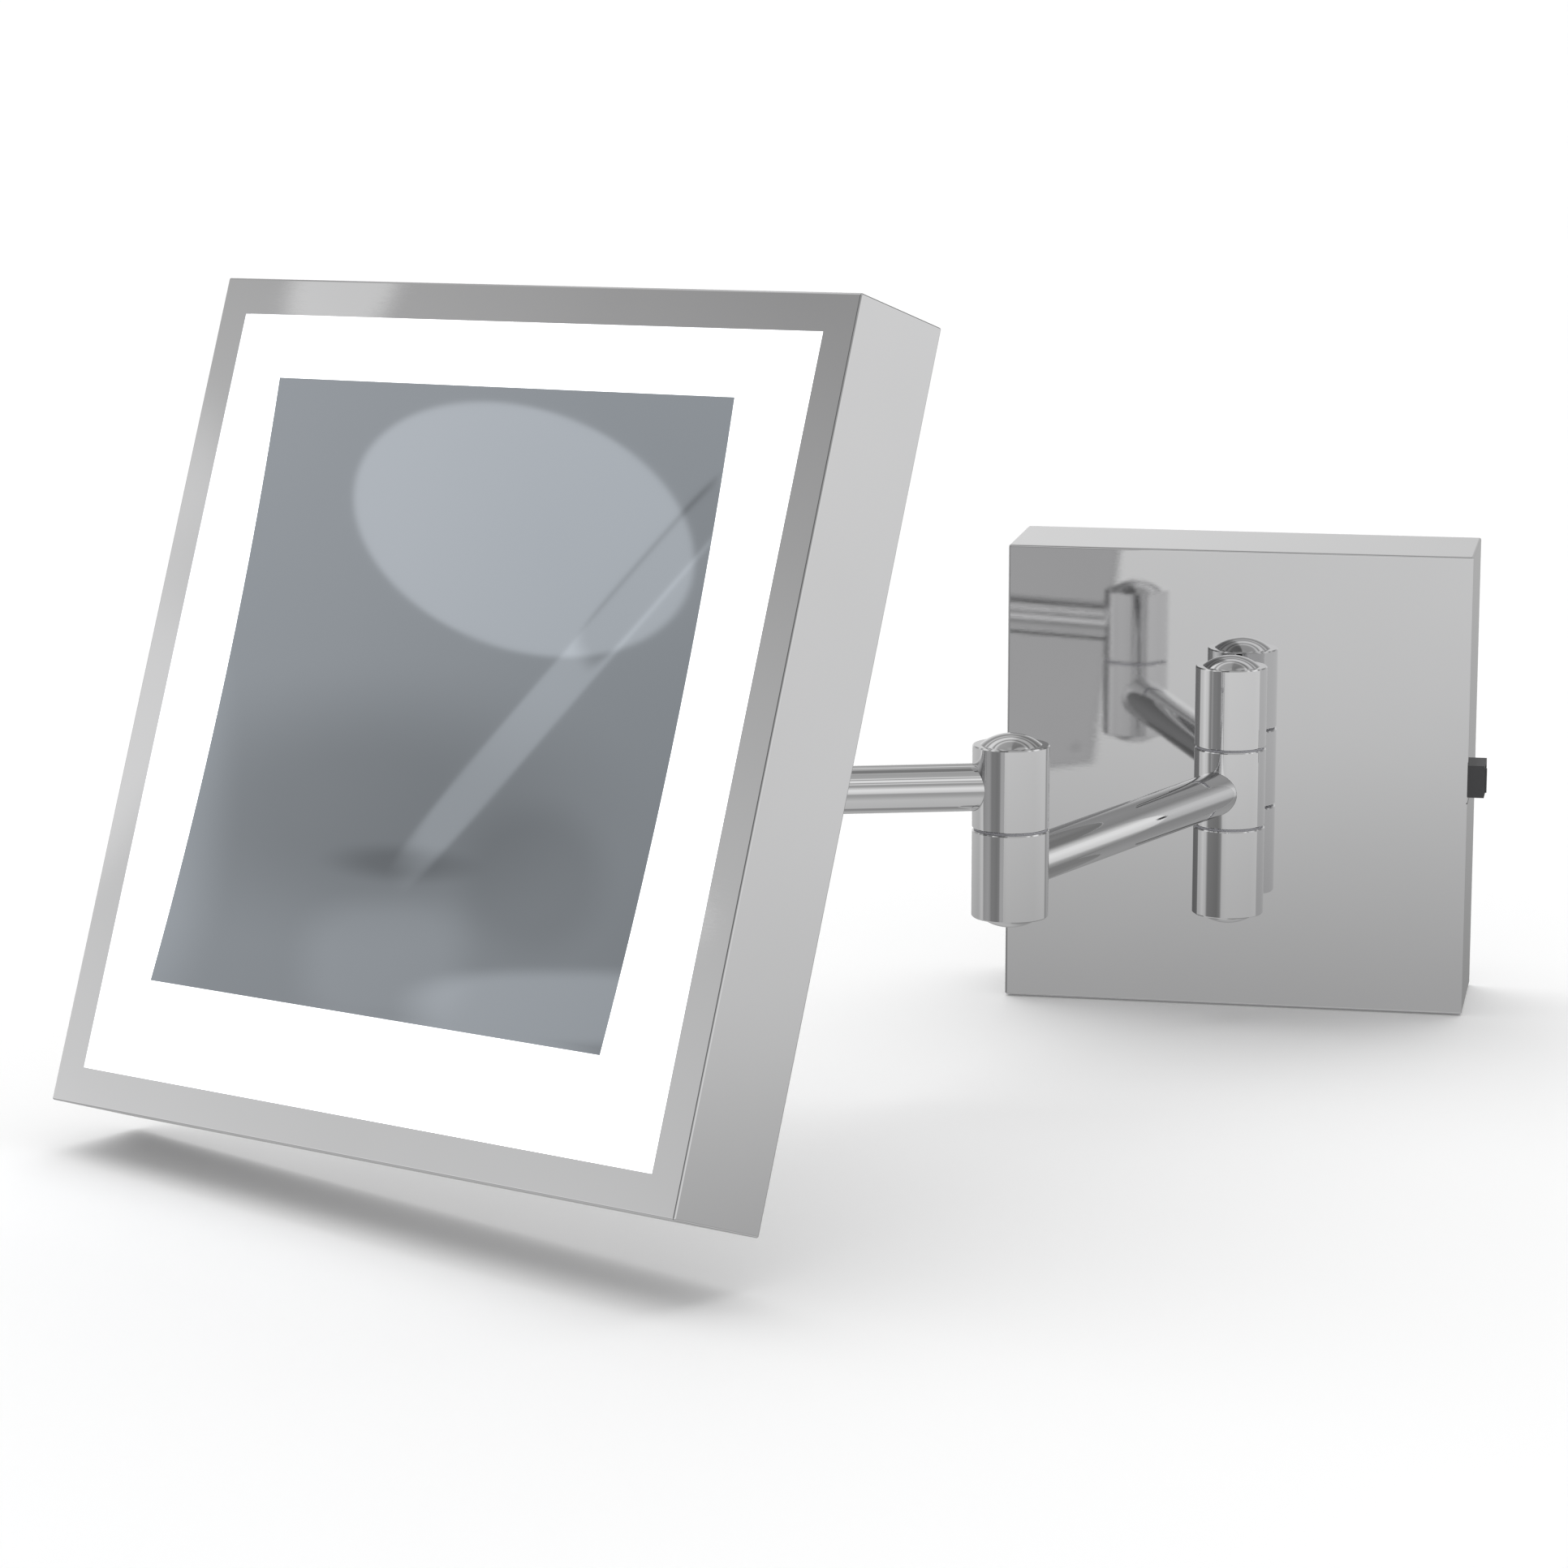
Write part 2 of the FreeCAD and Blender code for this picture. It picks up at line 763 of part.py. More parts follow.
def make_wall_cover():
    """The chromed box that slides over the bracket, open at the back."""
    body = new_body("wall_cover")
    inside = dim.plate_side - 2 * dim.cover_wall
    outer = new_sketch(body, "XZ_Plane")
    rectangle(outer, dim.plate_side, dim.plate_side)
    block = pad(body, outer, dim.plate_depth)

    def off_the_wall(edge):
        return max(abs(vertex.Point.y) for vertex in edge.Vertexes) > 0.01

    dress(body, "PartDesign::Fillet", block, dim.cover_round, off_the_wall)
    hollow = new_sketch(body, "XZ_Plane")
    rectangle(hollow, inside, inside)
    pocket(body, hollow, dim.plate_depth - dim.cover_wall, reverse=True)

    posts = new_sketch(body, "XZ_Plane", dim.plate_depth)
    for height in post_heights():
        circle(posts, dim.post_thread_radius + 2 * dim.run_gap, 0, height)
    pocket(body, posts, 2 * dim.cover_wall)
    switch_hole = new_sketch(body, "YZ_Plane", dim.plate_side / 2)
    rectangle(switch_hole, dim.switch_body_length + 2 * dim.run_gap,
              dim.switch_body_height + 2 * dim.run_gap, dim.switch_y, dim.switch_z)
    pocket(body, switch_hole, 2 * dim.cover_wall)
    screws = new_sketch(body, "XY_Plane", dim.cover_wall - dim.plate_side / 2)
    for side in (-1, 1):
        circle(screws, dim.cover_screw_radius + 2 * dim.run_gap,
               side * dim.cover_screw_spacing / 2, -dim.cover_screw_back)
    pocket(body, screws, 2 * dim.cover_wall)

    # A fine joint line runs across the switch's side, just below the switch.
    seam = new_sketch(body, "YZ_Plane", dim.plate_side / 2)
    rectangle(seam, 2 * dim.plate_depth, dim.seam_width, 0, dim.seam_z)
    pocket(body, seam, dim.seam_depth)
    finished("wall_cover", body)


def post_heights():
    half_washer = dim.washer_thick / 2
    lower = (dim.wall_knuckle_low + dim.wall_seam_low - half_washer) / 2
    upper = (dim.wall_knuckle_high + dim.wall_seam_high + half_washer) / 2
    return lower, upper


def make_cover_screws():
    """Two grub screws that hold the cover to the bracket's bottom flange, with hexagon sockets."""
    screws = []
    low = -dim.plate_side / 2
    length = dim.cover_wall + dim.bracket_play + dim.bracket_wall + dim.grub_end
    for side in (-1, 1):
        x = side * dim.cover_screw_spacing / 2
        place = (x, -dim.cover_screw_back, low)
        shank = rod(dim.cover_screw_radius, length, place)
        screws.append(cut(shank, hexagon(dim.grub_socket_across, dim.grub_socket_depth, place, "z")))
    finished("cover_screws", joined(*screws))


def make_posts():
    """The two hollow posts that hold the wall knuckle off the plate, their stiffener and nuts."""
    front = -dim.plate_depth
    inside_front = front + dim.cover_wall
    seat = -dim.knuckle_standoff + dim.tube_seat
    nut_front = inside_front + dim.stiffener_thick
    posts, nuts, holes = [], [], []
    for height in post_heights():
        shoulder = rod(dim.post_radius, front - seat, (0, seat, height), "y")
        thread = rod(dim.post_thread_radius, dim.post_thread_length, (0, front, height), "y")
        total = front - seat + dim.post_thread_length
        posts.append(cut(joined(shoulder, thread), rod(dim.post_bore, total, (0, seat, height), "y")))
        loose = dim.post_thread_radius + 2 * dim.run_gap
        holes.append(rod(loose, dim.stiffener_thick, (0, inside_front, height), "y"))
        nut = hexagon(dim.post_nut_across, dim.post_nut_thick, (0, nut_front, height))
        thread_clear = rod(dim.post_thread_radius + dim.fit_gap, dim.post_nut_thick,
                           (0, nut_front, height), "y")
        nuts.append(cut(nut, thread_clear))
    finished("wall_posts", joined(*posts))
    finished("post_nuts", joined(*nuts))
    lower, upper = post_heights()
    plate = box((-dim.stiffener_half_width, dim.stiffener_half_width), (inside_front, nut_front),
                (lower - dim.stiffener_overlap, upper + dim.stiffener_overlap))
    finished("post_stiffener", cut(plate, *holes))


# The driver's components, from its board's centre: blocks as (X span, Z span, height), a transformer
# core, its winding, a film capacitor and an output socket; cans as (radius, X, Z, height).
BOARD_BLOCKS = (
    ((-9, 9), (-10, 8), 9),
    ((-11, 11), (-4, 2), 7),
    ((4, 12), (20, 30), 5),
    ((-13, 2), (-33, -28), 6),
)
BOARD_CANS = ((4, -6, -22, 9), (3, 6, -22, 8), (3, -7, 20, 7))
DRIVER_RIBS = 7


def make_driver():
    """The LED driver: a case with two screw ears, its circuit board, its lid and its screws."""
    middle = dim.driver_centre_x
    half_length = dim.driver_length / 2
    left = middle - dim.driver_width / 2
    right = middle + dim.driver_width / 2
    back = -dim.bracket_wall
    front = back - dim.driver_depth
    wall = dim.driver_wall
    ear_front = back - dim.driver_ear_thick
    ear_end = half_length + dim.driver_ear
    half_ear = dim.driver_ear_width / 2

    shell = box((left, right), (front, back), (-half_length, half_length))
    ears = box((middle - half_ear, middle + half_ear), (ear_front, back), (-ear_end, ear_end))
    inside = (wall - half_length, half_length - wall)
    tools = [box((left + wall, right - wall), (front, back - wall), inside)]
    for side in (-1, 1):
        place = (middle, ear_front, side * driver_ear_z())
        tools.append(rod(dim.driver_screw_radius + 2 * dim.run_gap, dim.driver_ear_thick, place, "y"))
    # A slot at each end lets the mains lead in and the low-voltage lead out.
    half_slot = dim.driver_slot_width / 2
    tools.append(box((middle - half_slot, middle + half_slot), (front, front + dim.driver_slot_depth),
                     (-half_length, half_length)))
    finished("driver_case", cut(joined(shell, ears), *tools))

    lid_front = front - dim.driver_lid_thick
    lid = box((left, right), (lid_front, front), (-half_length, half_length))
    ribs = []
    for step in range(DRIVER_RIBS):
        low = (step - DRIVER_RIBS // 2) * dim.driver_rib_pitch - dim.driver_rib_width / 2
        ribs.append(box((left + dim.driver_rib_inset, right - dim.driver_rib_inset),
                        (lid_front - dim.driver_rib_rise, lid_front), (low, low + dim.driver_rib_width)))
    finished("driver_lid", joined(lid, *ribs))

    board_back = back - dim.board_height
    board_front = board_back - dim.board_thick
    edge = wall + dim.board_play
    span = (edge - half_length, half_length - edge)
    parts = [box((left + edge, right - edge), (board_front, board_back), span)]
    for (x_low, x_high), z_span, tall in BOARD_BLOCKS:
        parts.append(box((middle + x_low, middle + x_high), (board_front - tall, board_front), z_span))
    for radius, x, z, tall in BOARD_CANS:
        parts.append(rod(radius, tall, (middle + x, board_front - tall, z), "y"))
    finished("driver_board", joined(*parts))

    screws = []
    half_slot = dim.driver_head_slot / 2
    head_front = ear_front - dim.driver_head_thick
    for side in (-1, 1):
        z = side * driver_ear_z()
        shank = rod(dim.driver_screw_radius, dim.driver_screw_length, (middle, ear_front, z), "y")
        head = rod(dim.driver_head_radius, dim.driver_head_thick, (middle, head_front, z), "y")
        groove = box((middle - dim.driver_head_radius, middle + dim.driver_head_radius),
                     (head_front, head_front + half_slot), (z - half_slot, z + half_slot))
        screws.append(joined(shank, cut(head, groove)))
    finished("driver_screws", joined(*screws))


def make_terminal_block():
    """The two-pole block that takes the supply wires."""
    back = -dim.bracket_wall
    front = back - dim.terminal_depth
    half_width = dim.terminal_width / 2
    half_height = dim.terminal_height / 2
    x0, z0 = dim.terminal_x, dim.terminal_z
    block = box((x0 - half_width, x0 + half_width), (front, back), (z0 - half_height, z0 + half_height))
    half_split = dim.terminal_split / 2
    wire_y = front + dim.terminal_wire_depth
    tools = [box((x0 - half_split, x0 + half_split), (front, wire_y), (z0 - half_height, z0 + half_height))]
    for side in (-1, 1):
        x = x0 + side * half_width / 2
        tools.append(rod(dim.terminal_wire_radius, dim.terminal_height, (x, wire_y, z0 - half_height)))
        for row in (-1, 1):
            place = (x, front, z0 + row * half_height / 2)
            tools.append(rod(dim.terminal_screw_radius, dim.terminal_screw_depth, place, "y"))
    finished("terminal_block", cut(block, *tools))


def make_switch():
    """The rocker switch in the plate's right-hand side: housing, terminals and rocker."""
    side_face = dim.plate_side / 2
    y0, z0 = dim.switch_y, dim.switch_z

    def centred(x_span, length, height):
        return box(x_span, (y0 - length / 2, y0 + length / 2), (z0 - height / 2, z0 + height / 2))

    outside = side_face + dim.collar_rise
    inner = side_face - dim.switch_body_depth
    collar = centred((side_face, outside), dim.collar_length, dim.collar_height)
    shell = centred((inner, side_face), dim.switch_body_length, dim.switch_body_height)
    cavity = centred((outside - dim.switch_cavity_depth, outside), dim.switch_cavity_length,
                     dim.switch_cavity_height)
    pivot_x = side_face + dim.rocker_pivot_rise
    hole_length = dim.rocker_pin_length + 2 * dim.run_gap
    pin_hole = rod(dim.rocker_pin_radius + dim.run_gap, hole_length, (pivot_x, y0, z0 - hole_length / 2))
    finished("switch_housing", cut(joined(collar, shell), cavity, pin_hole))

    spades = []
    half_thick = dim.spade_thick / 2
    for step in (-1, 0, 1):
        y = y0 + step * dim.spade_pitch
        spades.append(box((inner - dim.spade_length, inner), (y - half_thick, y + half_thick),
                          (z0 - dim.spade_width / 2, z0 + dim.spade_width / 2)))
    finished("switch_terminals", joined(*spades))

    # The rocker is drawn level, about its own pin: its top is a shallow V and its underside a keel.
    body = new_body("switch_rocker")
    half = dim.rocker_length / 2
    crest = dim.rocker_valley + dim.rocker_rise
    profile = new_sketch(body, "XY_Plane")
    points = [(-dim.rocker_skirt, -half), (crest, -half), (dim.rocker_valley, 0), (crest, half)]
    points += [(-dim.rocker_skirt, half), (-dim.rocker_keel, 0)]
    outline(profile, points)
    block = pad(body, profile, dim.rocker_height, both_ways=True)

    def top_edge(edge):
        return min(vertex.Point.x for vertex in edge.Vertexes) > crest.number - 0.01

    dress(body, "PartDesign::Fillet", block, dim.rocker_edge, top_edge)
    pins = new_sketch(body, "XY_Plane")
    circle(pins, dim.rocker_pin_radius)
    pad(body, pins, dim.rocker_pin_length, both_ways=True)
    frame = turned(pivot_x.number, y0.number, z0.number, Z_AXIS, dim.rocker_angle.number)
    finished("switch_rocker", body, frame)


def make_wall_knuckle():
    """The two fixed barrels of the wall knuckle, their caps, washers and the hollow pivot."""
    half_washer = dim.washer_thick / 2
    lower_post, upper_post = post_heights()
    bore = dim.pivot_radius + dim.fit_gap
    socket = dim.post_radius + dim.fit_gap
    barrel("wall_barrel_lower", dim.wall_seam_low - half_washer, dim.wall_knuckle_low, bore, KNUCKLE,
           [("y", lower_post, socket, dim.post_bore)])
    barrel("wall_barrel_upper", dim.wall_seam_high + half_washer, dim.wall_knuckle_high, bore, KNUCKLE,
           [("y", upper_post, socket, dim.post_bore)])
    caps = joined(cap(dim.wall_knuckle_low, False), cap(dim.wall_knuckle_high, True))
    finished("wall_knuckle_caps", caps, KNUCKLE)
    washers = joined(seam_washer(dim.wall_seam_low), seam_washer(dim.wall_seam_high))
    finished("wall_washers", washers, KNUCKLE)
    windows = [
        window(lower_post, "y"),
        window(upper_post, "y"),
        box((-dim.bush_radius, dim.bush_radius), (-dim.bush_radius, 0),
            (dim.inner_arm_height - dim.lead_hole_radius, dim.inner_arm_height + dim.lead_hole_radius)),
    ]
    low = dim.wall_knuckle_low + dim.counterbore_depth
    high = dim.wall_knuckle_high - dim.counterbore_depth
    finished("wall_pivot_tube", pivot_tube(low, high, windows), KNUCKLE)


# ---------------------------------------------------------------- arms


def make_inner_arm():
    """The arm from the wall knuckle's middle barrel to the elbow's lower barrel."""
    half_washer = dim.washer_thick / 2
    hub_low = dim.wall_seam_low + half_washer
    hub_high = dim.wall_seam_high - half_washer
    tube_socket = dim.arm_radius + dim.fit_gap
    height = dim.inner_arm_height
    bush_bore = dim.bush_radius + dim.fit_gap
    pivot_bore = dim.pivot_radius + dim.fit_gap
    sockets = [("x", height, tube_socket, dim.lead_hole_radius)]
    barrel("inner_arm_hub", hub_low, hub_high, bush_bore, INNER, sockets, capped=False)
    finished("wall_bushes", joined(bush(hub_low), bush(hub_high - dim.bush_length)), INNER)
    finished("inner_arm_tube", arm_tube(dim.arm_radius, dim.arm_wall, dim.inner_arm_length, height), INNER)
    finished("inner_arm_lead", lead(dim.inner_arm_length, height), INNER)

    elbow = INNER * ELBOW_END
    barrel("elbow_barrel_lower", dim.elbow_seam - half_washer, dim.elbow_low, pivot_bore, elbow, sockets)
    finished("elbow_cap_lower", cap(dim.elbow_low, False), elbow)
    finished("elbow_washer", seam_washer(dim.elbow_seam), elbow)
    low = dim.elbow_low + dim.counterbore_depth
    clip_low = dim.elbow_high - dim.counterbore_depth + dim.clip_lift
    high = clip_low + dim.clip_thick + dim.clip_end
    tube = pivot_tube(low, high, [window(height, "x"), elbow_window()], clip_low)
    finished("elbow_pivot_tube", tube, elbow)
    finished("elbow_clip", clip(clip_low), elbow)


def elbow_window():
    """The elbow pivot's wide window, which faces the outer arm over the whole fold."""
    half = dim.lead_hole_radius
    reach = dim.bush_radius
    height = dim.outer_arm_height
    return box((0, reach), (-reach, reach), (height - half, height + half))


def make_outer_arm():
    """The arm from the elbow's upper barrel to the head knuckle's lower barrel."""
    half_washer = dim.washer_thick / 2
    height = dim.outer_arm_height
    face = dim.elbow_seam + half_washer
    sockets = [("x", height, dim.arm_radius + dim.fit_gap, dim.lead_hole_radius)]
    bush_bore = dim.bush_radius + dim.fit_gap
    barrel("elbow_barrel_upper", face, dim.elbow_high, bush_bore, OUTER, sockets)
    bush_top = dim.elbow_high - dim.counterbore_depth - dim.bush_length
    finished("elbow_bushes", joined(bush(face), bush(bush_top)), OUTER)
    finished("elbow_cap_upper", cap(dim.elbow_high, True), OUTER)
    finished("outer_arm_tube", arm_tube(dim.arm_radius, dim.arm_wall, dim.outer_arm_length, height), OUTER)
    finished("outer_arm_lead", lead(dim.outer_arm_length, height), OUTER)

    end = OUTER * HEAD_END
    pivot_bore = dim.pivot_radius + dim.fit_gap
    barrel("head_barrel_lower", dim.elbow_high - half_washer, dim.elbow_seam, pivot_bore, end, sockets)
    finished("head_cap_lower", cap(dim.elbow_seam, False), end)
    finished("head_washer", seam_washer(dim.elbow_high), end)
    low = dim.elbow_seam + dim.counterbore_depth
    clip_low = neck_clip_low()
    across = (-dim.bush_radius, dim.bush_radius)
    level = (dim.neck_height - dim.neck_window / 2, dim.neck_height + dim.neck_window / 2)
    web = box((-dim.neck_window_web / 2, dim.neck_window_web / 2), across, level)
    windows = [window(height, "x"), cut(box(across, across, level), web)]
    tube = pivot_tube(low, clip_low + dim.clip_thick + dim.clip_end, windows, clip_low)
    finished("head_pivot_tube", tube, end)
    finished("head_clip", clip(clip_low), end)


# ---------------------------------------------------------------- neck and tilt hinge


def neck_clip_low():
    return dim.neck_knuckle_high - dim.counterbore_depth + dim.clip_lift


def make_neck():
    """The swivelling stub behind the head: barrel, bush, short tube, fork and tilt screw."""
    half_washer = dim.washer_thick / 2
    face = dim.elbow_high + half_washer
    height = dim.neck_height
    sockets = [("x", height, dim.neck_radius + dim.fit_gap, dim.neck_lead_hole)]
    barrel("neck_barrel", face, dim.neck_knuckle_high, dim.bush_radius + dim.fit_gap, NECK, sockets)
    finished("neck_bush", bush(face), NECK)
    finished("neck_cap", cap(dim.neck_knuckle_high, True), NECK)

    pivot = dim.neck_length
    eye = dim.eye_radius
    ear_root = pivot - eye - dim.fork_clear
    fork_root = ear_root - dim.fork_stem
    gap = dim.tongue_thick / 2 + dim.tilt_washer_thick
    outer = gap + dim.ear_thick
    start = (dim.tube_seat, 0, height)
    tube_length = fork_root + dim.fork_socket - dim.tube_seat
    tube = ring(dim.neck_radius, dim.neck_radius - dim.neck_wall, tube_length, start, "x")
    finished("neck_tube", tube, NECK)

    base = box((fork_root, ear_root), (-outer, outer), (height - eye, height + eye))
    ears = [box((ear_root, pivot), span, (height - eye, height + eye))
            for span in ((-outer, -gap), (gap, outer))]
    eyes = [rod(eye, dim.ear_thick, (pivot, low, height), "y") for low in (-outer, gap)]
    tools = [
        rod(dim.neck_radius + dim.fit_gap, dim.fork_socket, (fork_root, 0, height), "x"),
        rod(dim.neck_lead_hole, 2 * dim.fork_stem, (fork_root, 0, height), "x"),
        rod(dim.tilt_screw_radius + dim.fit_gap, 2 * outer, (pivot, -outer, height), "y"),
    ]
    finished("tilt_fork", cut(joined(base, *ears, *eyes), *tools), NECK)

    nut_back = -outer - dim.tilt_nut_thick
    shank_back = nut_back - dim.tilt_screw_end
    shank = rod(dim.tilt_screw_radius, outer - shank_back, (pivot, shank_back, height), "y")
    head = rod(dim.tilt_head_radius, dim.tilt_head_thick, (pivot, outer, height), "y")
    socket_start = outer + dim.tilt_head_thick - dim.tilt_socket_depth
    socket = hexagon(dim.tilt_socket_across, dim.tilt_socket_depth, (pivot, socket_start, height))
    finished("tilt_screw", cut(joined(shank, head), socket), NECK)
    nut = hexagon(dim.tilt_nut_across, dim.tilt_nut_thick, (pivot, nut_back, height))
    clear = rod(dim.tilt_screw_radius + dim.fit_gap, dim.tilt_nut_thick, (pivot, nut_back, height), "y")
    finished("tilt_nut", cut(nut, clear), NECK)


def make_lug():
    """The tongue and flange between the fork and the head, with its washers and nut."""
    eye = dim.eye_radius
    half = dim.tongue_thick / 2
    back_face = -dim.pivot_offset
    flange_back = back_face + dim.face_washer_thick
    flange_front = flange_back + dim.flange_thick
    boss_end = back_face - dim.boss_reach
    bore = rod(dim.boss_bore, flange_front - boss_end - dim.boss_bore_web, (0, boss_end, 0), "y")
    tongue = joined(
        box((-half, half), (flange_front, 0), (-eye, eye)),
        rod(eye, dim.tongue_thick, (-half, 0, 0), "x"),
        rod(dim.flange_radius, dim.flange_thick, (0, flange_back, 0), "y"),
        rod(dim.boss_radius, flange_back - boss_end, (0, boss_end, 0), "y"),
        stop_tab(),
    )
    eye_hole = rod(dim.tilt_screw_radius + dim.run_gap, dim.tongue_thick, (-half, 0, 0), "x")
    finished("tilt_lug", cut(tongue, eye_hole, bore), LUG)

    washers = []
    for low in (-half - dim.tilt_washer_thick, half):
        hole = dim.tilt_screw_radius + 2 * dim.run_gap
        washers.append(ring(dim.tilt_washer_radius, hole, dim.tilt_washer_thick, (low, 0, 0), "x"))
    finished("tilt_washers", joined(*washers), LUG)
    loose = dim.boss_radius + 2 * dim.run_gap
    face_washer = ring(dim.face_washer_radius, loose, dim.face_washer_thick, (0, back_face, 0), "y")
    finished("lug_face_washer", face_washer, LUG)

    plate_front = back_face - dim.head_wall - dim.pivot_plate_thick
    wave_low = plate_front - dim.wave_washer_thick
    wave = ring(dim.wave_washer_radius, loose, dim.wave_washer_thick, (0, wave_low, 0), "y")
    finished("lug_wave_washer", wave, LUG)
    nut_low = wave_low - dim.lug_nut_thick
    nut = cut(hexagon(dim.lug_nut_across, dim.lug_nut_thick, (0, nut_low, 0)),
              rod(dim.boss_radius + dim.fit_gap, dim.lug_nut_thick, (0, nut_low, 0), "y"))
    finished("lug_nut", nut, LUG)


def stop_tab():
    """The tab on the boss that limits how far the head turns on it."""
    half = dim.stop_tab_width / 2
    back = -dim.pivot_offset - dim.head_wall
    return box((-half, half), (back - dim.pivot_plate_thick, back), (0, dim.stop_tab_reach))


# ---------------------------------------------------------------- head


def boss_opening(front, length):
    """The boss's hole through the head's back, with the notch that its tab turns in."""
    half = dim.stop_notch_width / 2
    hole = rod(dim.boss_radius + dim.run_gap, length, (0, front, 0), "y")
    notch = box((-half, half), (front, as_size(front) + length), (0, dim.stop_notch_reach))
    return joined(hole, notch)


def make_head_frame():
    """The chromed square frame: four sides and a narrow front rim."""
    body = new_body("head_frame")
    outer = new_sketch(body, "XZ_Plane", -dim.head_depth)
    rectangle(outer, dim.head_side, dim.head_side)
    block = pad(body, outer, dim.head_depth)
    dress(body, "PartDesign::Fillet", block, dim.head_round, lambda edge: True)
    inside = dim.head_side - 2 * dim.head_wall
    hollow = new_sketch(body, "XZ_Plane", -dim.head_depth)
    rectangle(hollow, inside, inside)
    pocket(body, hollow, dim.head_depth - dim.head_wall, reverse=True)
    opening = new_sketch(body, "XZ_Plane", -dim.head_wall)
    light_side = dim.head_side - 2 * dim.rim_width
    rectangle(opening, light_side, light_side)
    pocket(body, opening, dim.head_wall, reverse=True)
    finished("head_frame", body, HEAD)


def block_centre():
    return dim.head_side / 2 - dim.head_wall - dim.block_play - dim.block_side / 2


def make_corner_blocks():
    """Four blocks welded into the frame's corners, which the back cover is screwed to."""
    blocks, screws = [], []
    back = dim.head_depth - dim.head_wall
    half = dim.block_side / 2
    hole_radius = dim.back_screw_radius + dim.fit_gap
    hole_depth = dim.back_screw_length + dim.back_screw_spare
    for right in (-1, 1):
        for up in (-1, 1):
            x = right * block_centre()
            z = up * block_centre()
            block = box((x - half, x + half), (dim.block_front, back), (z - half, z + half))
            blocks.append(cut(block, rod(hole_radius, hole_depth, (x, back - hole_depth, z), "y")))
            screws.append(back_screw(x, z))
    finished("corner_blocks", joined(*blocks), HEAD)
    finished("back_screws", joined(*screws), HEAD)


def back_screw(x, z):
    """A countersunk screw, flush with the back cover, with a cross recess."""
    back = dim.head_depth - dim.head_wall
    shank = rod(dim.back_screw_radius, dim.back_screw_length, (x, back - dim.back_screw_length, z), "y")
    head = cone(dim.back_screw_radius, dim.back_screw_head, dim.head_wall, (x, back, z), "y")
    recess = (dim.head_depth - dim.recess_depth, dim.head_depth)
    long, thin = dim.recess_length / 2, dim.recess_width / 2
    across = box((x - long, x + long), recess, (z - thin, z + thin))
    upright = box((x - thin, x + thin), recess, (z - long, z + long))
    return cut(joined(shank, head), across, upright)


def make_back_cover():
    """The flat back of the head and the plate welded inside it, which carries the boss."""
    body = new_body("back_cover")
    side = dim.head_side - 2 * dim.head_wall - 2 * dim.cover_play
    outer = new_sketch(body, "XZ_Plane", -dim.head_depth)
    rectangle(outer, side, side)
    pad(body, outer, dim.head_wall)
    back = dim.head_depth - dim.head_wall
    tools = [boss_opening(back, dim.head_wall)]
    for right in (-1, 1):
        for up in (-1, 1):
            place = (right * block_centre(), back, up * block_centre())
            head_radius = dim.back_screw_head + dim.fit_gap
            tools.append(cone(dim.back_screw_radius + dim.fit_gap, head_radius, dim.head_wall, place, "y"))
    finished("back_cover", cut(body, *tools), HEAD)

    half = dim.pivot_plate_side / 2
    front = back - dim.pivot_plate_thick
    plate = box((-half, half), (front, back), (-half, half))
    finished("pivot_plate", cut(plate, boss_opening(front, dim.pivot_plate_thick)), HEAD)


def make_diffuser():
    """The frosted panel behind the rim, with a square window for the mirror."""
    body = new_body("diffuser")
    back = dim.head_wall + dim.diffuser_thick
    side = dim.head_side - 2 * dim.head_wall - 2 * dim.diffuser_play
    outer = new_sketch(body, "XZ_Plane", -back)
    rectangle(outer, side, side)
    pad(body, outer, dim.diffuser_thick)
    window_side = dim.mirror_side + 2 * dim.glass_gap
    opening = new_sketch(body, "XZ_Plane", -back)
    rectangle(opening, window_side, window_side, 0, dim.mirror_raise)
    pocket(body, opening, dim.diffuser_thick, reverse=True)
    finished("diffuser", body, HEAD)


def curve_radius():
    half = dim.mirror_side / 2
    return (half * half + dim.mirror_sag * dim.mirror_sag) / (2 * dim.mirror_sag)


def curve_rod(radius):
    """A rod along X, level with the mirror's middle, whose far side is the hollow of the glass."""
    deepest = dim.mirror_sag - dim.mirror_proud
    start = (-dim.mirror_side, deepest - curve_radius(), dim.mirror_raise)
    return rod(radius, 2 * dim.mirror_side, start, "x")


def make_mirror():
    """The glass, hollow from top to bottom, on the moulded carrier that it is bonded to."""
    half = dim.mirror_side / 2
    up = dim.mirror_raise
    slab = box((-half, half), (-dim.mirror_proud - dim.slab_spare, dim.slab_back), (up - half, up + half))
    back_radius = curve_radius() + dim.glass_thick
    shell = cut(curve_rod(back_radius), curve_rod(curve_radius()))
    finished("mirror_glass", common(slab, shell), HEAD)

    outer = half - dim.carrier_inset
    inner = outer - dim.carrier_wall
    floor_front = dim.tray_back - dim.tray_wall
    block = box((-outer, outer), (-dim.carrier_front, floor_front), (up - outer, up + outer))
    hollow = box((-inner, inner), (dim.carrier_face, floor_front), (up - inner, up + inner))
    finished("mirror_carrier", cut(block, curve_rod(back_radius + dim.glue_gap), hollow), HEAD)


def notched_square(sketch, half, notch):
    """A square whose four corners are cut out square."""
    inner = half - notch
    points = []
    for right, up in ((1, 1), (-1, 1), (-1, -1), (1, -1)):
        corner = [(right * half, up * inner), (right * inner, up * inner), (right * inner, up * half)]
        points += corner if right * up > 0 else corner[::-1]
    outline(sketch, points)


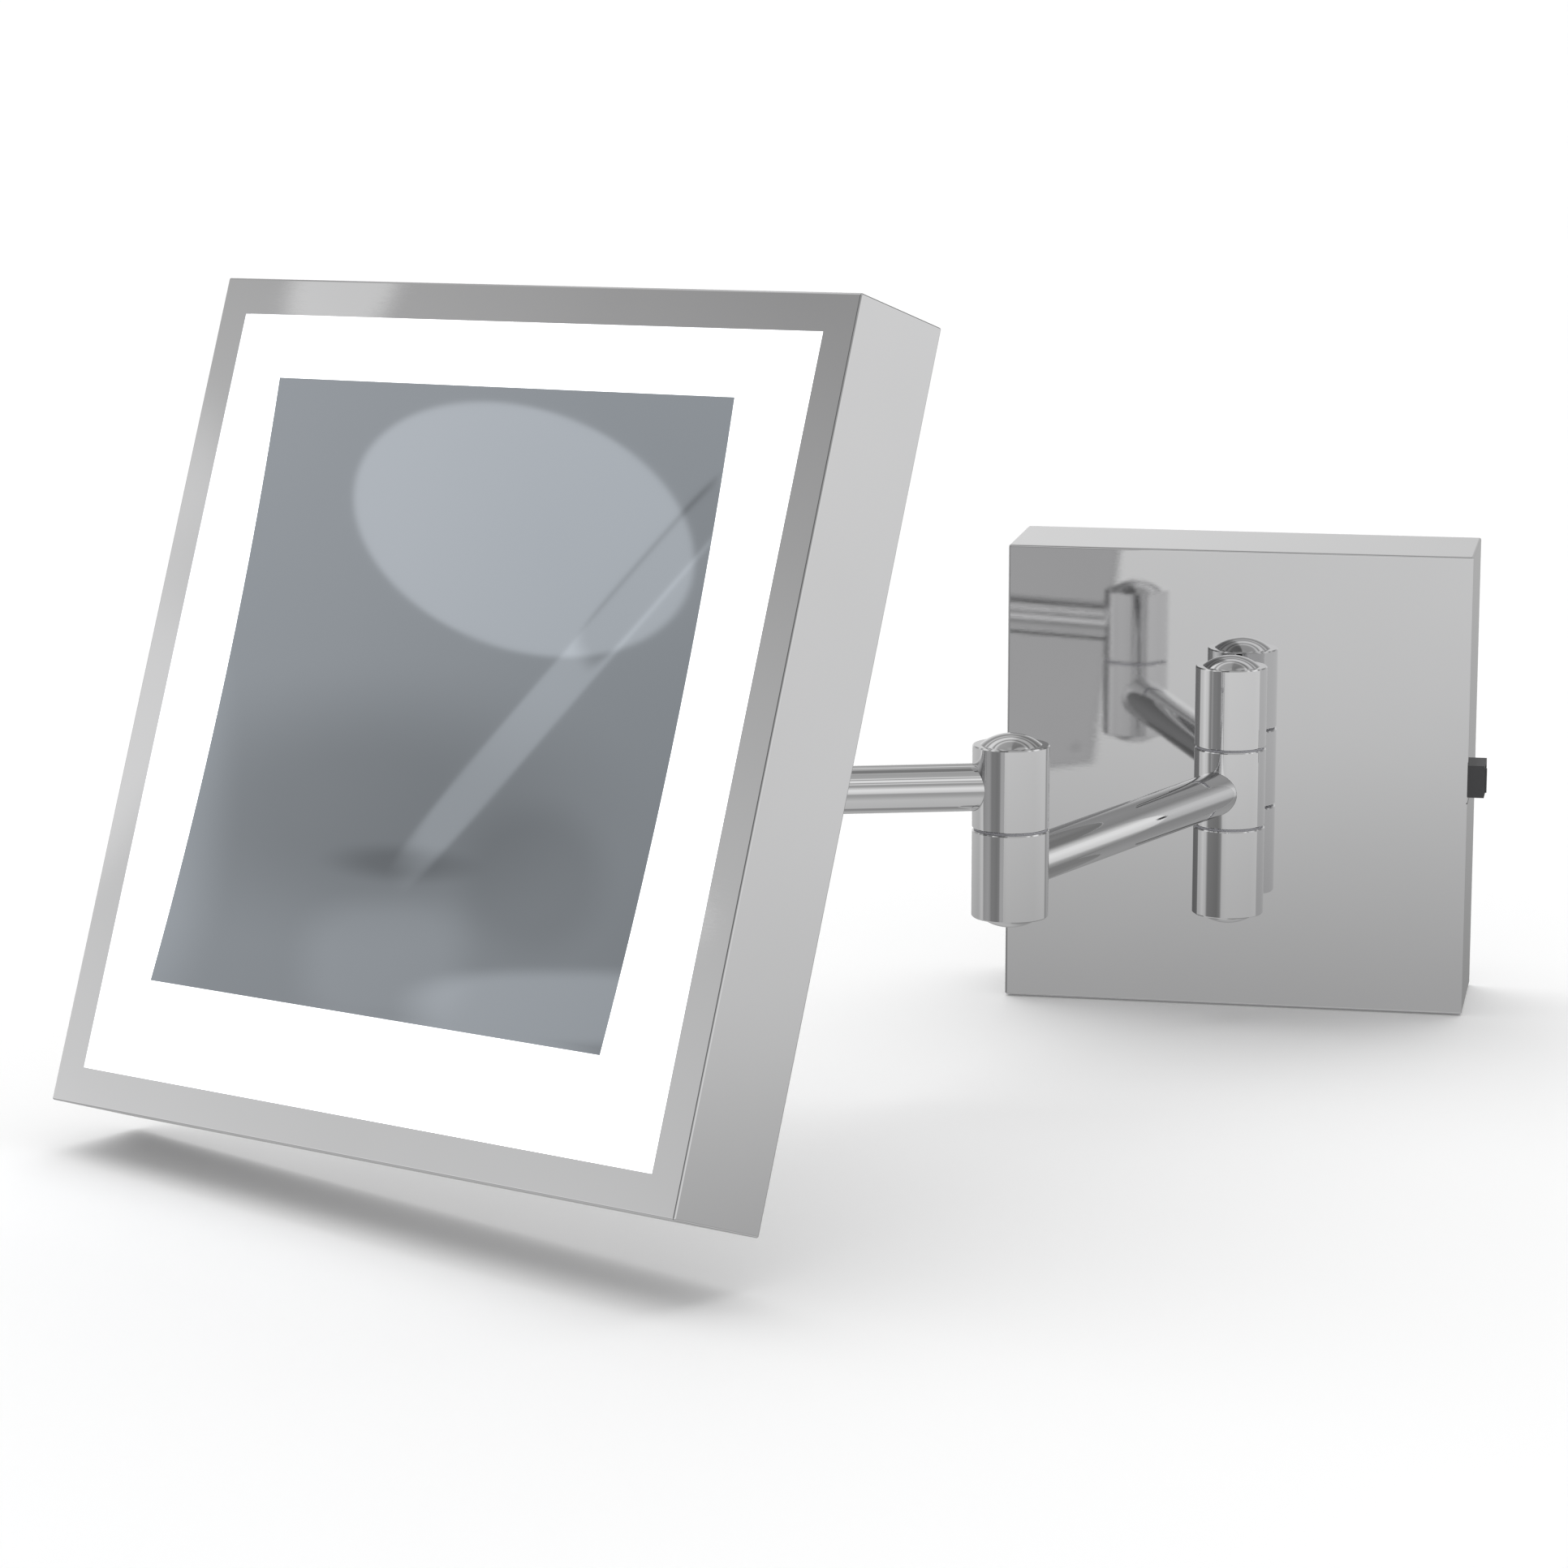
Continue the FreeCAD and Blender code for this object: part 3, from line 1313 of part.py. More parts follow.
def make_light_tray():
    """The white pan behind the diffuser that holds the LED strips."""
    body = new_body("light_tray")
    depth = dim.tray_back - dim.head_wall - dim.diffuser_thick
    outer = new_sketch(body, "XZ_Plane", -dim.tray_back)
    notched_square(outer, dim.tray_side / 2, dim.tray_notch)
    pad(body, outer, depth)
    front = dim.head_wall + dim.diffuser_thick
    hollow = new_sketch(body, "XZ_Plane", -front)
    notched_square(hollow, dim.tray_side / 2 - dim.tray_wall, dim.tray_notch)
    pocket(body, hollow, depth - dim.tray_wall)
    middle = new_sketch(body, "XZ_Plane", -dim.tray_back)
    circle(middle, dim.boss_radius)
    pocket(body, middle, 2 * dim.tray_wall, reverse=True)
    finished("light_tray", body, HEAD)


def make_led_strips():
    """Four strips of LEDs on the tray's floor, one behind each side of the lit border."""
    floor_front = dim.tray_back - dim.tray_wall
    board_front = floor_front - dim.strip_board
    half_length = dim.strip_length / 2
    half_width = dim.strip_width / 2
    half_led = dim.led_side / 2
    count = int(dim.led_count.number)
    pitch = dim.strip_length / dim.led_count
    strips = []
    for upright in (False, True):
        for side in (-1, 1):
            middle = side * dim.strip_offset
            across = (middle - half_width, middle + half_width)
            along = (-half_length, half_length)
            x, z = (across, along) if upright else (along, across)
            pieces = [box(x, (board_front, floor_front), z)]
            for step in range(count):
                place = (step - (count - 1) / 2) * pitch
                led_along = (place - half_led, place + half_led)
                led_across = (middle - half_led, middle + half_led)
                x, z = (led_across, led_along) if upright else (led_along, led_across)
                pieces.append(box(x, (board_front - dim.led_height, board_front), z))
            strips.append(joined(*pieces))
    finished("led_strips", joined(*strips), HEAD)


# ---------------------------------------------------------------- build, check and write

make_wall_bracket()
make_wall_cover()
make_cover_screws()
make_posts()
make_driver()
make_terminal_block()
make_switch()
make_wall_knuckle()
make_inner_arm()
make_outer_arm()
make_neck()
make_lug()
make_head_frame()
make_corner_blocks()
make_back_cover()
make_diffuser()
make_mirror()
make_light_tray()
make_led_strips()
doc.recompute()

for thing in doc.Objects:
    if {"Invalid", "Error"} & set(thing.State):
        raise SystemExit(f"{thing.Name} ({thing.Label}) failed: {thing.State}")
for subpart in subparts:
    shape = subpart.Shape
    if shape.isNull() or not shape.isValid() or not shape.Solids:
        raise SystemExit(f"{subpart.Label} has no valid solid")

os.makedirs("parts", exist_ok=True)
for subpart in subparts:
    subpart.Shape.exportStep(f"parts/{subpart.Label}.step")
    print(subpart.Label, len(subpart.Shape.Solids), round(subpart.Shape.Volume, 1))
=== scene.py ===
import json
import math

import bmesh
import bpy
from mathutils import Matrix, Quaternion, Vector

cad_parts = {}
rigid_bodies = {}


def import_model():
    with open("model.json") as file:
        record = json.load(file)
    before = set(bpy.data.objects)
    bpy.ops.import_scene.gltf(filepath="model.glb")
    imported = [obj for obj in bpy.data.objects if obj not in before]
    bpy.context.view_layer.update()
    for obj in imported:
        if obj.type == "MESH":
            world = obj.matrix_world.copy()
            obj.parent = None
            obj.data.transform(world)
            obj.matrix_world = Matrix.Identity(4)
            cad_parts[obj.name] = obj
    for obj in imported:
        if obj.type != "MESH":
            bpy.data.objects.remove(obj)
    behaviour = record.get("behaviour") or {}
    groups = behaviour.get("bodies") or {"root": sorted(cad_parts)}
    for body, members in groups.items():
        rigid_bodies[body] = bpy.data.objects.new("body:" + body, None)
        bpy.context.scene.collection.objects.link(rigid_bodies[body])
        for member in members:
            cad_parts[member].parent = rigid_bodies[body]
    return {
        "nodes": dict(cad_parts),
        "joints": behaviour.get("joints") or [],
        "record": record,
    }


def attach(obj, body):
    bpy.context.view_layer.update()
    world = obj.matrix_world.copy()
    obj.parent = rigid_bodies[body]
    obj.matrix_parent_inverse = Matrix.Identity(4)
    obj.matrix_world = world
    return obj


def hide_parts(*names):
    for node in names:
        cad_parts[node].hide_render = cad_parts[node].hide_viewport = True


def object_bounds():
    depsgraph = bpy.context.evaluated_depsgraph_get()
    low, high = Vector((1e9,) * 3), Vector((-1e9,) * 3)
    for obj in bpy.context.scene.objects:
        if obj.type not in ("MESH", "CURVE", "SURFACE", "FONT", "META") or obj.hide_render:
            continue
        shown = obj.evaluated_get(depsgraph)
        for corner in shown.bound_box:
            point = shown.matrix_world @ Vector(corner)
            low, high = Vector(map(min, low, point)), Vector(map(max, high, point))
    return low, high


for leftover in list(bpy.data.objects):
    bpy.data.objects.remove(leftover)

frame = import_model()
cad_low, cad_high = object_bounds()

MM = 0.001
nodes = frame["nodes"]
joint_axes = {joint["name"]: Vector(joint["axis"]).normalized() for joint in frame["joints"]}

# The head's own directions: straight back through it, along its width and up its height.
HEAD_LEVEL_ANGLE = -2.65
HEAD_BACK = joint_axes["head_level"]
HEAD_SIDE = Quaternion(HEAD_BACK, math.radians(HEAD_LEVEL_ANGLE)) @ joint_axes["head_tilt"]
HEAD_UP = HEAD_SIDE.cross(HEAD_BACK)

# ---------------------------------------------------------------- node-tree helpers


def new_material(name):
    """An empty node material; returns it with its tree and its Principled shader."""
    material = bpy.data.materials.new(name)
    material.use_nodes = True
    tree = material.node_tree
    tree.nodes.clear()
    output = tree.nodes.new("ShaderNodeOutputMaterial")
    shader = tree.nodes.new("ShaderNodeBsdfPrincipled")
    tree.links.new(shader.outputs["BSDF"], output.inputs["Surface"])
    return material, tree, shader


def object_space(tree, scale=(1, 1, 1)):
    """Object coordinates, stretched along the axes."""
    coordinates = tree.nodes.new("ShaderNodeTexCoord")
    mapping = tree.nodes.new("ShaderNodeMapping")
    mapping.inputs["Scale"].default_value = scale
    tree.links.new(coordinates.outputs["Object"], mapping.inputs["Vector"])
    return mapping.outputs["Vector"]


def noise(tree, vector, scale, detail=4, roughness=0.5):
    """Noise from 0 to 1, with so many features per metre."""
    node = tree.nodes.new("ShaderNodeTexNoise")
    node.inputs["Scale"].default_value = scale
    node.inputs["Detail"].default_value = detail
    node.inputs["Roughness"].default_value = roughness
    tree.links.new(vector, node.inputs["Vector"])
    return node.outputs["Fac"]


def ramp(tree, value, stops):
    """A colour ramp through (position, colour) stops; a plain number stands for a grey."""
    node = tree.nodes.new("ShaderNodeValToRGB")
    elements = node.color_ramp.elements
    while len(elements) < len(stops):
        elements.new(0.5)
    for element, (position, colour) in zip(elements, stops):
        element.position = position
        element.color = (*colour, 1) if isinstance(colour, tuple) else (colour, colour, colour, 1)
    tree.links.new(value, node.inputs["Fac"])
    return node.outputs["Color"]


def spread(tree, value, low, high):
    """Maps a 0-to-1 value to a range."""
    node = tree.nodes.new("ShaderNodeMapRange")
    node.inputs["To Min"].default_value = low
    node.inputs["To Max"].default_value = high
    tree.links.new(value, node.inputs["Value"])
    return node.outputs["Result"]


def bump(tree, shader, height, strength, distance):
    """Raises the surface's shading by a height from 0 to 1."""
    node = tree.nodes.new("ShaderNodeBump")
    node.inputs["Strength"].default_value = strength
    node.inputs["Distance"].default_value = distance
    tree.links.new(height, node.inputs["Height"])
    tree.links.new(node.outputs["Normal"], shader.inputs["Normal"])


def calculate(tree, operation, first, second=None):
    """One math node; each value is a number or another node's output."""
    node = tree.nodes.new("ShaderNodeMath")
    node.operation = operation
    for socket, value in zip(node.inputs, (first, second)):
        if value is None:
            continue
        if isinstance(value, (int, float)):
            socket.default_value = value
        else:
            tree.links.new(value, socket)
    return node.outputs["Value"]


def mix_colours(tree, share, first, second):
    """The first colour where the share is 0 and the second where it is 1."""
    node = tree.nodes.new("ShaderNodeMix")
    node.data_type = "RGBA"
    tree.links.new(share, node.inputs["Factor"])
    colour_inputs = [socket for socket in node.inputs if socket.type == "RGBA"]
    for socket, colour in zip(colour_inputs, (first, second)):
        if isinstance(colour, tuple):
            socket.default_value = (*colour, 1)
        else:
            tree.links.new(colour, socket)
    return next(socket for socket in node.outputs if socket.type == "RGBA")


FLAT_ENOUGH = 0.9


def faces_along(tree, direction):
    """1 where the surface faces along the direction, or against it, and 0 at the edges all round."""
    coordinates = tree.nodes.new("ShaderNodeTexCoord")
    facing = tree.nodes.new("ShaderNodeVectorMath")
    facing.operation = "DOT_PRODUCT"
    tree.links.new(coordinates.outputs["Normal"], facing.inputs[0])
    facing.inputs[1].default_value = direction
    share = calculate(tree, "ABSOLUTE", facing.outputs["Value"])
    return calculate(tree, "GREATER_THAN", share, FLAT_ENOUGH)


def darker(colour, share):
    return tuple(channel * share for channel in colour)


# ---------------------------------------------------------------- materials


def make_chrome(name, tint, roughness, cloud=0.05):
    """Polished chrome plate: a faint cloudiness in its colour and hairline polish marks."""
    material, tree, shader = new_material(name)
    clouds = noise(tree, object_space(tree), scale=14, detail=3)
    colour = ramp(tree, clouds, [(0.3, darker(tint, 1 - cloud)), (0.7, tint)])
    tree.links.new(colour, shader.inputs["Base Color"])
    shader.inputs["Metallic"].default_value = 1
    smears = noise(tree, object_space(tree, (1, 1, 4)), scale=60, detail=6, roughness=0.6)
    uneven = spread(tree, smears, low=roughness * 0.6, high=roughness * 1.6)
    tree.links.new(uneven, shader.inputs["Roughness"])
    hairlines = noise(tree, object_space(tree, (0.2, 0.2, 30)), scale=900, detail=2)
    bump(tree, shader, hairlines, strength=0.02, distance=0.02 * MM)
    return material


def make_turned_metal(name, tint, roughness):
    """Zinc or brass: grainy colour, brushed round marks and a little dulling."""
    material, tree, shader = new_material(name)
    grain = noise(tree, object_space(tree), scale=450, detail=5, roughness=0.65)
    colour = ramp(tree, grain, [(0.25, darker(tint, 0.72)), (0.75, tint)])
    tree.links.new(colour, shader.inputs["Base Color"])
    shader.inputs["Metallic"].default_value = 1
    marks = noise(tree, object_space(tree, (6, 1, 1)), scale=260)
    uneven = spread(tree, marks, low=roughness * 0.7, high=roughness * 1.4)
    tree.links.new(uneven, shader.inputs["Roughness"])
    bump(tree, shader, marks, strength=0.15, distance=0.05 * MM)
    return material


def make_moulding(name, tint, roughness, grain_scale, grain_depth):
    """A moulded plastic with a fine spark-eroded grain and slight unevenness of colour."""
    material, tree, shader = new_material(name)
    space = object_space(tree)
    drift = noise(tree, space, scale=35, detail=3)
    colour = ramp(tree, drift, [(0.3, darker(tint, 0.86)), (0.7, tint)])
    tree.links.new(colour, shader.inputs["Base Color"])
    grain = noise(tree, space, scale=grain_scale, detail=3, roughness=0.7)
    uneven = spread(tree, grain, low=roughness * 0.85, high=roughness * 1.15)
    tree.links.new(uneven, shader.inputs["Roughness"])
    bump(tree, shader, grain, strength=0.35, distance=grain_depth)
    return material


BOARD_SETTINGS = {
    "Scale": 160,
    "Color1": (0.012, 0.16, 0.07, 1),
    "Color2": (0.015, 0.21, 0.09, 1),
    "Mortar": (0.03, 0.33, 0.14, 1),
    "Mortar Size": 0.035,
}


def make_circuit_board(name):
    """Green solder mask over a brick pattern of copper fields, with their gaps as tracks."""
    material, tree, shader = new_material(name)
    space = object_space(tree)
    bricks = tree.nodes.new("ShaderNodeTexBrick")
    for setting, value in BOARD_SETTINGS.items():
        bricks.inputs[setting].default_value = value
    tree.links.new(space, bricks.inputs["Vector"])
    tree.links.new(bricks.outputs["Color"], shader.inputs["Base Color"])
    uneven = spread(tree, noise(tree, space, scale=300), low=0.25, high=0.45)
    tree.links.new(uneven, shader.inputs["Roughness"])
    bump(tree, shader, bricks.outputs["Fac"], strength=0.3, distance=0.04 * MM)
    return material


def make_lamps(name):
    """The LED strips: white boards whose lamps glow warm through yellow phosphor."""
    material, tree, shader = new_material(name)
    grain = noise(tree, object_space(tree), scale=500, detail=2)
    colour = ramp(tree, grain, [(0.3, (0.78, 0.74, 0.52)), (0.7, (0.95, 0.93, 0.80))])
    tree.links.new(colour, shader.inputs["Base Color"])
    tree.links.new(colour, shader.inputs["Emission Color"])
    shader.inputs["Emission Strength"].default_value = 2
    tree.links.new(spread(tree, grain, low=0.35, high=0.55), shader.inputs["Roughness"])
    return material


def make_frosted(name):
    """The frosted panel, lit from behind: an even white glow with the panel's fine frosting."""
    material, tree, shader = new_material(name)
    space = object_space(tree)
    frosting = noise(tree, space, scale=1800, roughness=0.7)
    glow = noise(tree, space, scale=9, detail=1)
    colour = ramp(tree, glow, [(0.35, (0.93, 0.96, 1.0)), (0.65, (1.0, 1.0, 1.0))])
    tree.links.new(colour, shader.inputs["Base Color"])
    tree.links.new(colour, shader.inputs["Emission Color"])
    shader.inputs["Emission Strength"].default_value = 1.25
    tree.links.new(spread(tree, frosting, low=0.45, high=0.7), shader.inputs["Roughness"])
    bump(tree, shader, frosting, strength=0.2, distance=0.03 * MM)
    return material


SILVER_DARK = (0.395, 0.428, 0.463)
SILVER_LIGHT = (0.415, 0.445, 0.480)
# Painted light: the cut edges get a near-white colour and glow white, standing in for the lit panel's
# light coming through the glass edge.
CUT_EDGE_PAINTED_WHITE = (0.95, 0.97, 1.0)
PAINTED_EDGE_GLOW = (1.0, 1.0, 1.0)
NO_GLOW = (0.0, 0.0, 0.0)


def make_mirror(name, facing_direction):
    """Silvered glass, cool and barely uneven, whose cut edges carry painted light: a near-white colour
    and a painted white glow in place of the lit panel's light showing through them.
    """
    material, tree, shader = new_material(name)
    space = object_space(tree)
    silvered = faces_along(tree, facing_direction)
    silver = noise(tree, space, scale=7, detail=3)
    silver_colour = ramp(tree, silver, [(0.3, SILVER_DARK), (0.7, SILVER_LIGHT)])
    colour = mix_colours(tree, silvered, CUT_EDGE_PAINTED_WHITE, silver_colour)
    tree.links.new(colour, shader.inputs["Base Color"])
    tree.links.new(silvered, shader.inputs["Metallic"])
    # Painted glow: the cut edges emit white light though they are no lamp.
    glow = mix_colours(tree, silvered, PAINTED_EDGE_GLOW, NO_GLOW)
    tree.links.new(glow, shader.inputs["Emission Color"])
    shader.inputs["Emission Strength"].default_value = 1.0
    haze = noise(tree, space, scale=40)
    tree.links.new(spread(tree, haze, low=0.008, high=0.02), shader.inputs["Roughness"])
    return material


MATERIALS = {
    "chrome": make_chrome("chrome_round", (0.78, 0.78, 0.785), roughness=0.02),
    "zinc_steel": make_turned_metal("zinc_steel", (0.60, 0.61, 0.62), roughness=0.34),
    "brass": make_turned_metal("brass", (0.72, 0.52, 0.22), roughness=0.28),
    "nylon": make_moulding("nylon", (0.42, 0.42, 0.45), 0.5, 1200, 0.03 * MM),
    "black_plastic": make_moulding("black_plastic", (0.055, 0.055, 0.058), 0.42, 1400, 0.03 * MM),
    "white_plastic": make_moulding("white_plastic", (0.82, 0.82, 0.80), 0.5, 900, 0.03 * MM),
    "circuit_board": make_circuit_board("circuit_board"),
    "led": make_lamps("led_strip"),
    "lead": make_moulding("lead_sheath", (0.03, 0.03, 0.032), 0.45, 700, 0.04 * MM),
    "frosted": make_frosted("frosted_lit"),
    "mirror": make_mirror("silvered_glass", HEAD_BACK),
}
FLAT_CHROME = make_chrome("chrome_flat", (0.72, 0.72, 0.725), roughness=0.012, cloud=0.03)
FLAT_CHROME_NODES = ("wall_cover", "head_frame", "back_cover", "back_screws")


def finish_cad_nodes():
    """Gives every carried-over CAD node its slot's material."""
    for entry in frame["record"]["subparts"]:
        material = MATERIALS[entry["material_slot"]]
        if entry["node"] in FLAT_CHROME_NODES:
            material = FLAT_CHROME
        node_materials = nodes[entry["node"]].data.materials
        node_materials.clear()
        node_materials.append(material)


finish_cad_nodes()

# ---------------------------------------------------------------- mirror glass

GLASS_SAG = 3.1 * MM
GLASS_CHAMFER = 0.3 * MM
GLASS_ROWS = 96
GLASS_COLUMNS = 32


def glass_spans():
    """The CAD glass's lowest and highest reach along the head's width, depth and height."""
    corners = [vertex.co for vertex in nodes["mirror_glass"].data.vertices]
    spans = []
    for direction in (HEAD_SIDE, HEAD_BACK, HEAD_UP):
        distances = [corner.dot(direction) for corner in corners]
        spans.append((min(distances), max(distances)))
    return spans


def make_glass():
    """The curved glass, finely divided so that its reflections run smoothly, with a ground edge."""
    (left, right), (front, back), (bottom, top) = glass_spans()
    half_height = (top - bottom) / 2
    middle = (top + bottom) / 2
    radius = (half_height**2 + GLASS_SAG**2) / (2 * GLASS_SAG)
    mesh = bmesh.new()

    def front_depth(rise):
        """How deep the hollow front lies at a height: deepest in the middle."""
        return front + GLASS_SAG - (radius - math.sqrt(radius**2 - (rise - middle) ** 2))

    def between(low, high, step, steps):
        """A place inside the chamfers, that share of the way across."""
        return low + GLASS_CHAMFER + (high - low - 2 * GLASS_CHAMFER) * step / steps

    def add_point(side, depth, rise):
        return mesh.verts.new(HEAD_SIDE * side + HEAD_BACK * depth + HEAD_UP * rise)

    grid = {}
    for row in range(GLASS_ROWS + 1):
        rise = between(bottom, top, row, GLASS_ROWS)
        for column in range(GLASS_COLUMNS + 1):
            side = between(left, right, column, GLASS_COLUMNS)
            grid[row, column] = add_point(side, front_depth(rise), rise)
    for row in range(GLASS_ROWS):
        for column in range(GLASS_COLUMNS):
            places = ((row, column), (row, column + 1), (row + 1, column + 1), (row + 1, column))
            face = mesh.faces.new([grid[place] for place in places])
            face.smooth = True

    rim = [(0, column) for column in range(GLASS_COLUMNS)]
    rim += [(row, GLASS_COLUMNS) for row in range(GLASS_ROWS)]
    rim += [(GLASS_ROWS, column) for column in range(GLASS_COLUMNS, 0, -1)]
    rim += [(row, 0) for row in range(GLASS_ROWS, 0, -1)]
    front_edge = [grid[place] for place in rim]
    outer_edge = []
    back_edge = []
    for row, column in rim:
        side = {0: left, GLASS_COLUMNS: right}.get(column, between(left, right, column, GLASS_COLUMNS))
        rise = {0: bottom, GLASS_ROWS: top}.get(row, between(bottom, top, row, GLASS_ROWS))
        outer_edge.append(add_point(side, front_depth(rise) + GLASS_CHAMFER, rise))
        back_edge.append(add_point(side, back, rise))
    for inner, outer in ((front_edge, outer_edge), (outer_edge, back_edge)):
        for index in range(len(rim)):
            following = (index + 1) % len(rim)
            mesh.faces.new((inner[index], inner[following], outer[following], outer[index]))
    mesh.faces.new(back_edge)
    bmesh.ops.recalc_face_normals(mesh, faces=mesh.faces)
    for edge in mesh.edges:
        edge.smooth = all(face.smooth for face in edge.link_faces)

    data = bpy.data.meshes.new("curved_glass")
    mesh.to_mesh(data)
    mesh.free()
    data.materials.append(MATERIALS["mirror"])
    glass = bpy.data.objects.new("curved_glass", data)
    bpy.context.scene.collection.objects.link(glass)
    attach(glass, "head")
    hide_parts("mirror_glass")


make_glass()

# ---------------------------------------------------------------- camera

CAMERA_PLACE = Vector((0.1303, -1.3653, 0.2566))
CAMERA_YAW = 10.95
CAMERA_PITCH = -10.99
CAMERA_LENS = 112.8
CAMERA_SENSOR = 36


def make_camera():
    """A long lens in front of the object, a little above it and to its right."""
    data = bpy.data.cameras.new("camera")
    data.lens = CAMERA_LENS
    data.sensor_width = CAMERA_SENSOR
    camera = bpy.data.objects.new("camera", data)
    bpy.context.scene.collection.objects.link(camera)
    camera.location = CAMERA_PLACE
    camera.rotation_euler = (math.radians(90 + CAMERA_PITCH), 0, math.radians(CAMERA_YAW))
    bpy.context.scene.camera = camera


make_camera()

# ---------------------------------------------------------------- studio

FLOOR_SIDE = 30.0
FLOOR_GAP = 0.5 * MM
FLOOR_ROUGHNESS = 0.9
FLOOR_SPECULAR = 0.1


def make_floor():
    """A plain pale floor at the object's lowest point, left out of the chrome's reflections."""
    material, tree, shader = new_material("studio_floor")
    paper = noise(tree, object_space(tree), scale=3, detail=2)
    tree.links.new(ramp(tree, paper, [(0.3, 0.92), (0.7, 0.94)]), shader.inputs["Base Color"])
    shader.inputs["Roughness"].default_value = FLOOR_ROUGHNESS
    shader.inputs["Specular IOR Level"].default_value = FLOOR_SPECULAR
    mesh = bpy.data.meshes.new("studio_floor")
    half = FLOOR_SIDE / 2
    level = cad_low.z - FLOOR_GAP
    corners = [(-half, -half, level), (half, -half, level), (half, half, level), (-half, half, level)]
    mesh.from_pydata(corners, [], [(0, 1, 2, 3)])
    mesh.materials.append(material)
    floor = bpy.data.objects.new("studio_floor", mesh)
    bpy.context.scene.collection.objects.link(floor)
    floor.visible_glossy = False


# Brightness of the studio seen in the chrome, by the angle round from straight in front (degrees,
# positive to the right) and by the angle above the horizon.
ROUND = [
    (-180, 0.62), (-172, 0.78), (-130, 0.85), (-100, 0.80), (-87, 1.00), (-84, 1.00), (-79, 0.90),
    (-75, 0.92), (-71, 0.75), (-65, 0.35), (-30, 0.29), (-20, 0.40), (-14, 0.88), (0, 0.93),
    (85, 0.90), (120, 0.94), (132, 0.92), (138, 0.52), (150, 0.45), (164, 0.50), (176, 0.50), (180, 0.62),
]
RISE = [
    (-90, 0.60), (-45, 0.65), (-25, 0.45), (-16, 0.42), (-13.3, 0.50), (-10.3, 0.73), (-8.6, 0.79),
    (-4, 0.86), (3, 0.97), (9, 0.95), (12, 0.79), (16.6, 0.67), (19, 0.58), (21.3, 0.49), (24, 0.41),
    (30, 0.45), (34, 0.90), (39, 0.35), (44, 1.00), (50, 1.00), (55, 0.35), (59, 0.95), (64, 0.50),
    (80, 0.46), (90, 0.60),
]
STUDIO_STRENGTH = 1.04
EVEN_LIGHT = 0.60

# Softboxes and dark screens seen in the chrome and the mirror: angle round, angle up, half width, half
# height, turn (degrees), squareness (2 is an ellipse), softness of the edge as a share of the size, and
# the brightness that each adds.
PANELS = [
    (-78.98, 16.34, 2.08, 1.09, 28.0, 2, 0.03, 0.34),  # large oval softbox, seen in the glass
    (-78.68, 17.70, 2.65, 0.21, -24.0, 5, 0.12, 0.24),  # long strip light, seen across the glass
    (-77.56, 17.16, 1.15, 0.21, -24.0, 5, 0.12, -0.29),  # evens out the two where they cross
    (-83.90, 21.20, 0.60, 0.90, 0.0, 2, 0.15, 0.26),  # bright patch on the rim's top left
    (-85.00, 15.50, 2.20, 3.60, 0.0, 2, 0.15, 0.16),  # wide light along the rim's left side
    (-81.50, 18.10, 2.30, 0.85, 17.0, 2, 0.60, -0.13),  # broad shade in the glass's lower half
    (-79.70, 19.35, 0.85, 0.62, 17.0, 2, 0.35, -0.06),  # darker corner beside the strip's foot
    (-81.20, 18.74, 0.70, 0.13, 20.0, 2, 0.60, -0.12),  # dark foot of the strip light
    (-81.60, 19.50, 0.95, 0.50, 17.0, 3, 0.35, 0.09),  # paler stand under the foot
    (-79.80, 20.50, 1.60, 0.32, 17.0, 3, 0.25, 0.24),  # pale floor strip along the glass's bottom
]


def softbox(tree, around, rise, panel):
    """The brightness one soft-edged panel adds, by its direction."""
    centre_round, centre_rise, half_width, half_height, turn, squareness, softness, gain = panel
    sideways = calculate(tree, "SUBTRACT", around, centre_round)
    upwards = calculate(tree, "SUBTRACT", rise, centre_rise)
    cosine = math.cos(math.radians(turn))
    sine = math.sin(math.radians(turn))

    def along(sideways_share, upwards_share, half):
        """How far out the direction lies along one of the panel's own axes, ready to be summed."""
        first = calculate(tree, "MULTIPLY", sideways, sideways_share / half)
        second = calculate(tree, "MULTIPLY", upwards, upwards_share / half)
        share = calculate(tree, "ABSOLUTE", calculate(tree, "ADD", first, second))
        return calculate(tree, "POWER", share, squareness)

    wide = along(cosine, sine, half_width)
    high = along(-sine, cosine, half_height)
    distance = calculate(tree, "POWER", calculate(tree, "ADD", wide, high), 1 / squareness)
    edge = tree.nodes.new("ShaderNodeMapRange")
    edge.interpolation_type = "SMOOTHSTEP"
    edge.inputs["From Min"].default_value = 1 + softness
    edge.inputs["From Max"].default_value = 1 - softness
    edge.inputs["To Min"].default_value = 0
    edge.inputs["To Max"].default_value = gain
    tree.links.new(distance, edge.inputs["Value"])
    return edge.outputs["Result"]


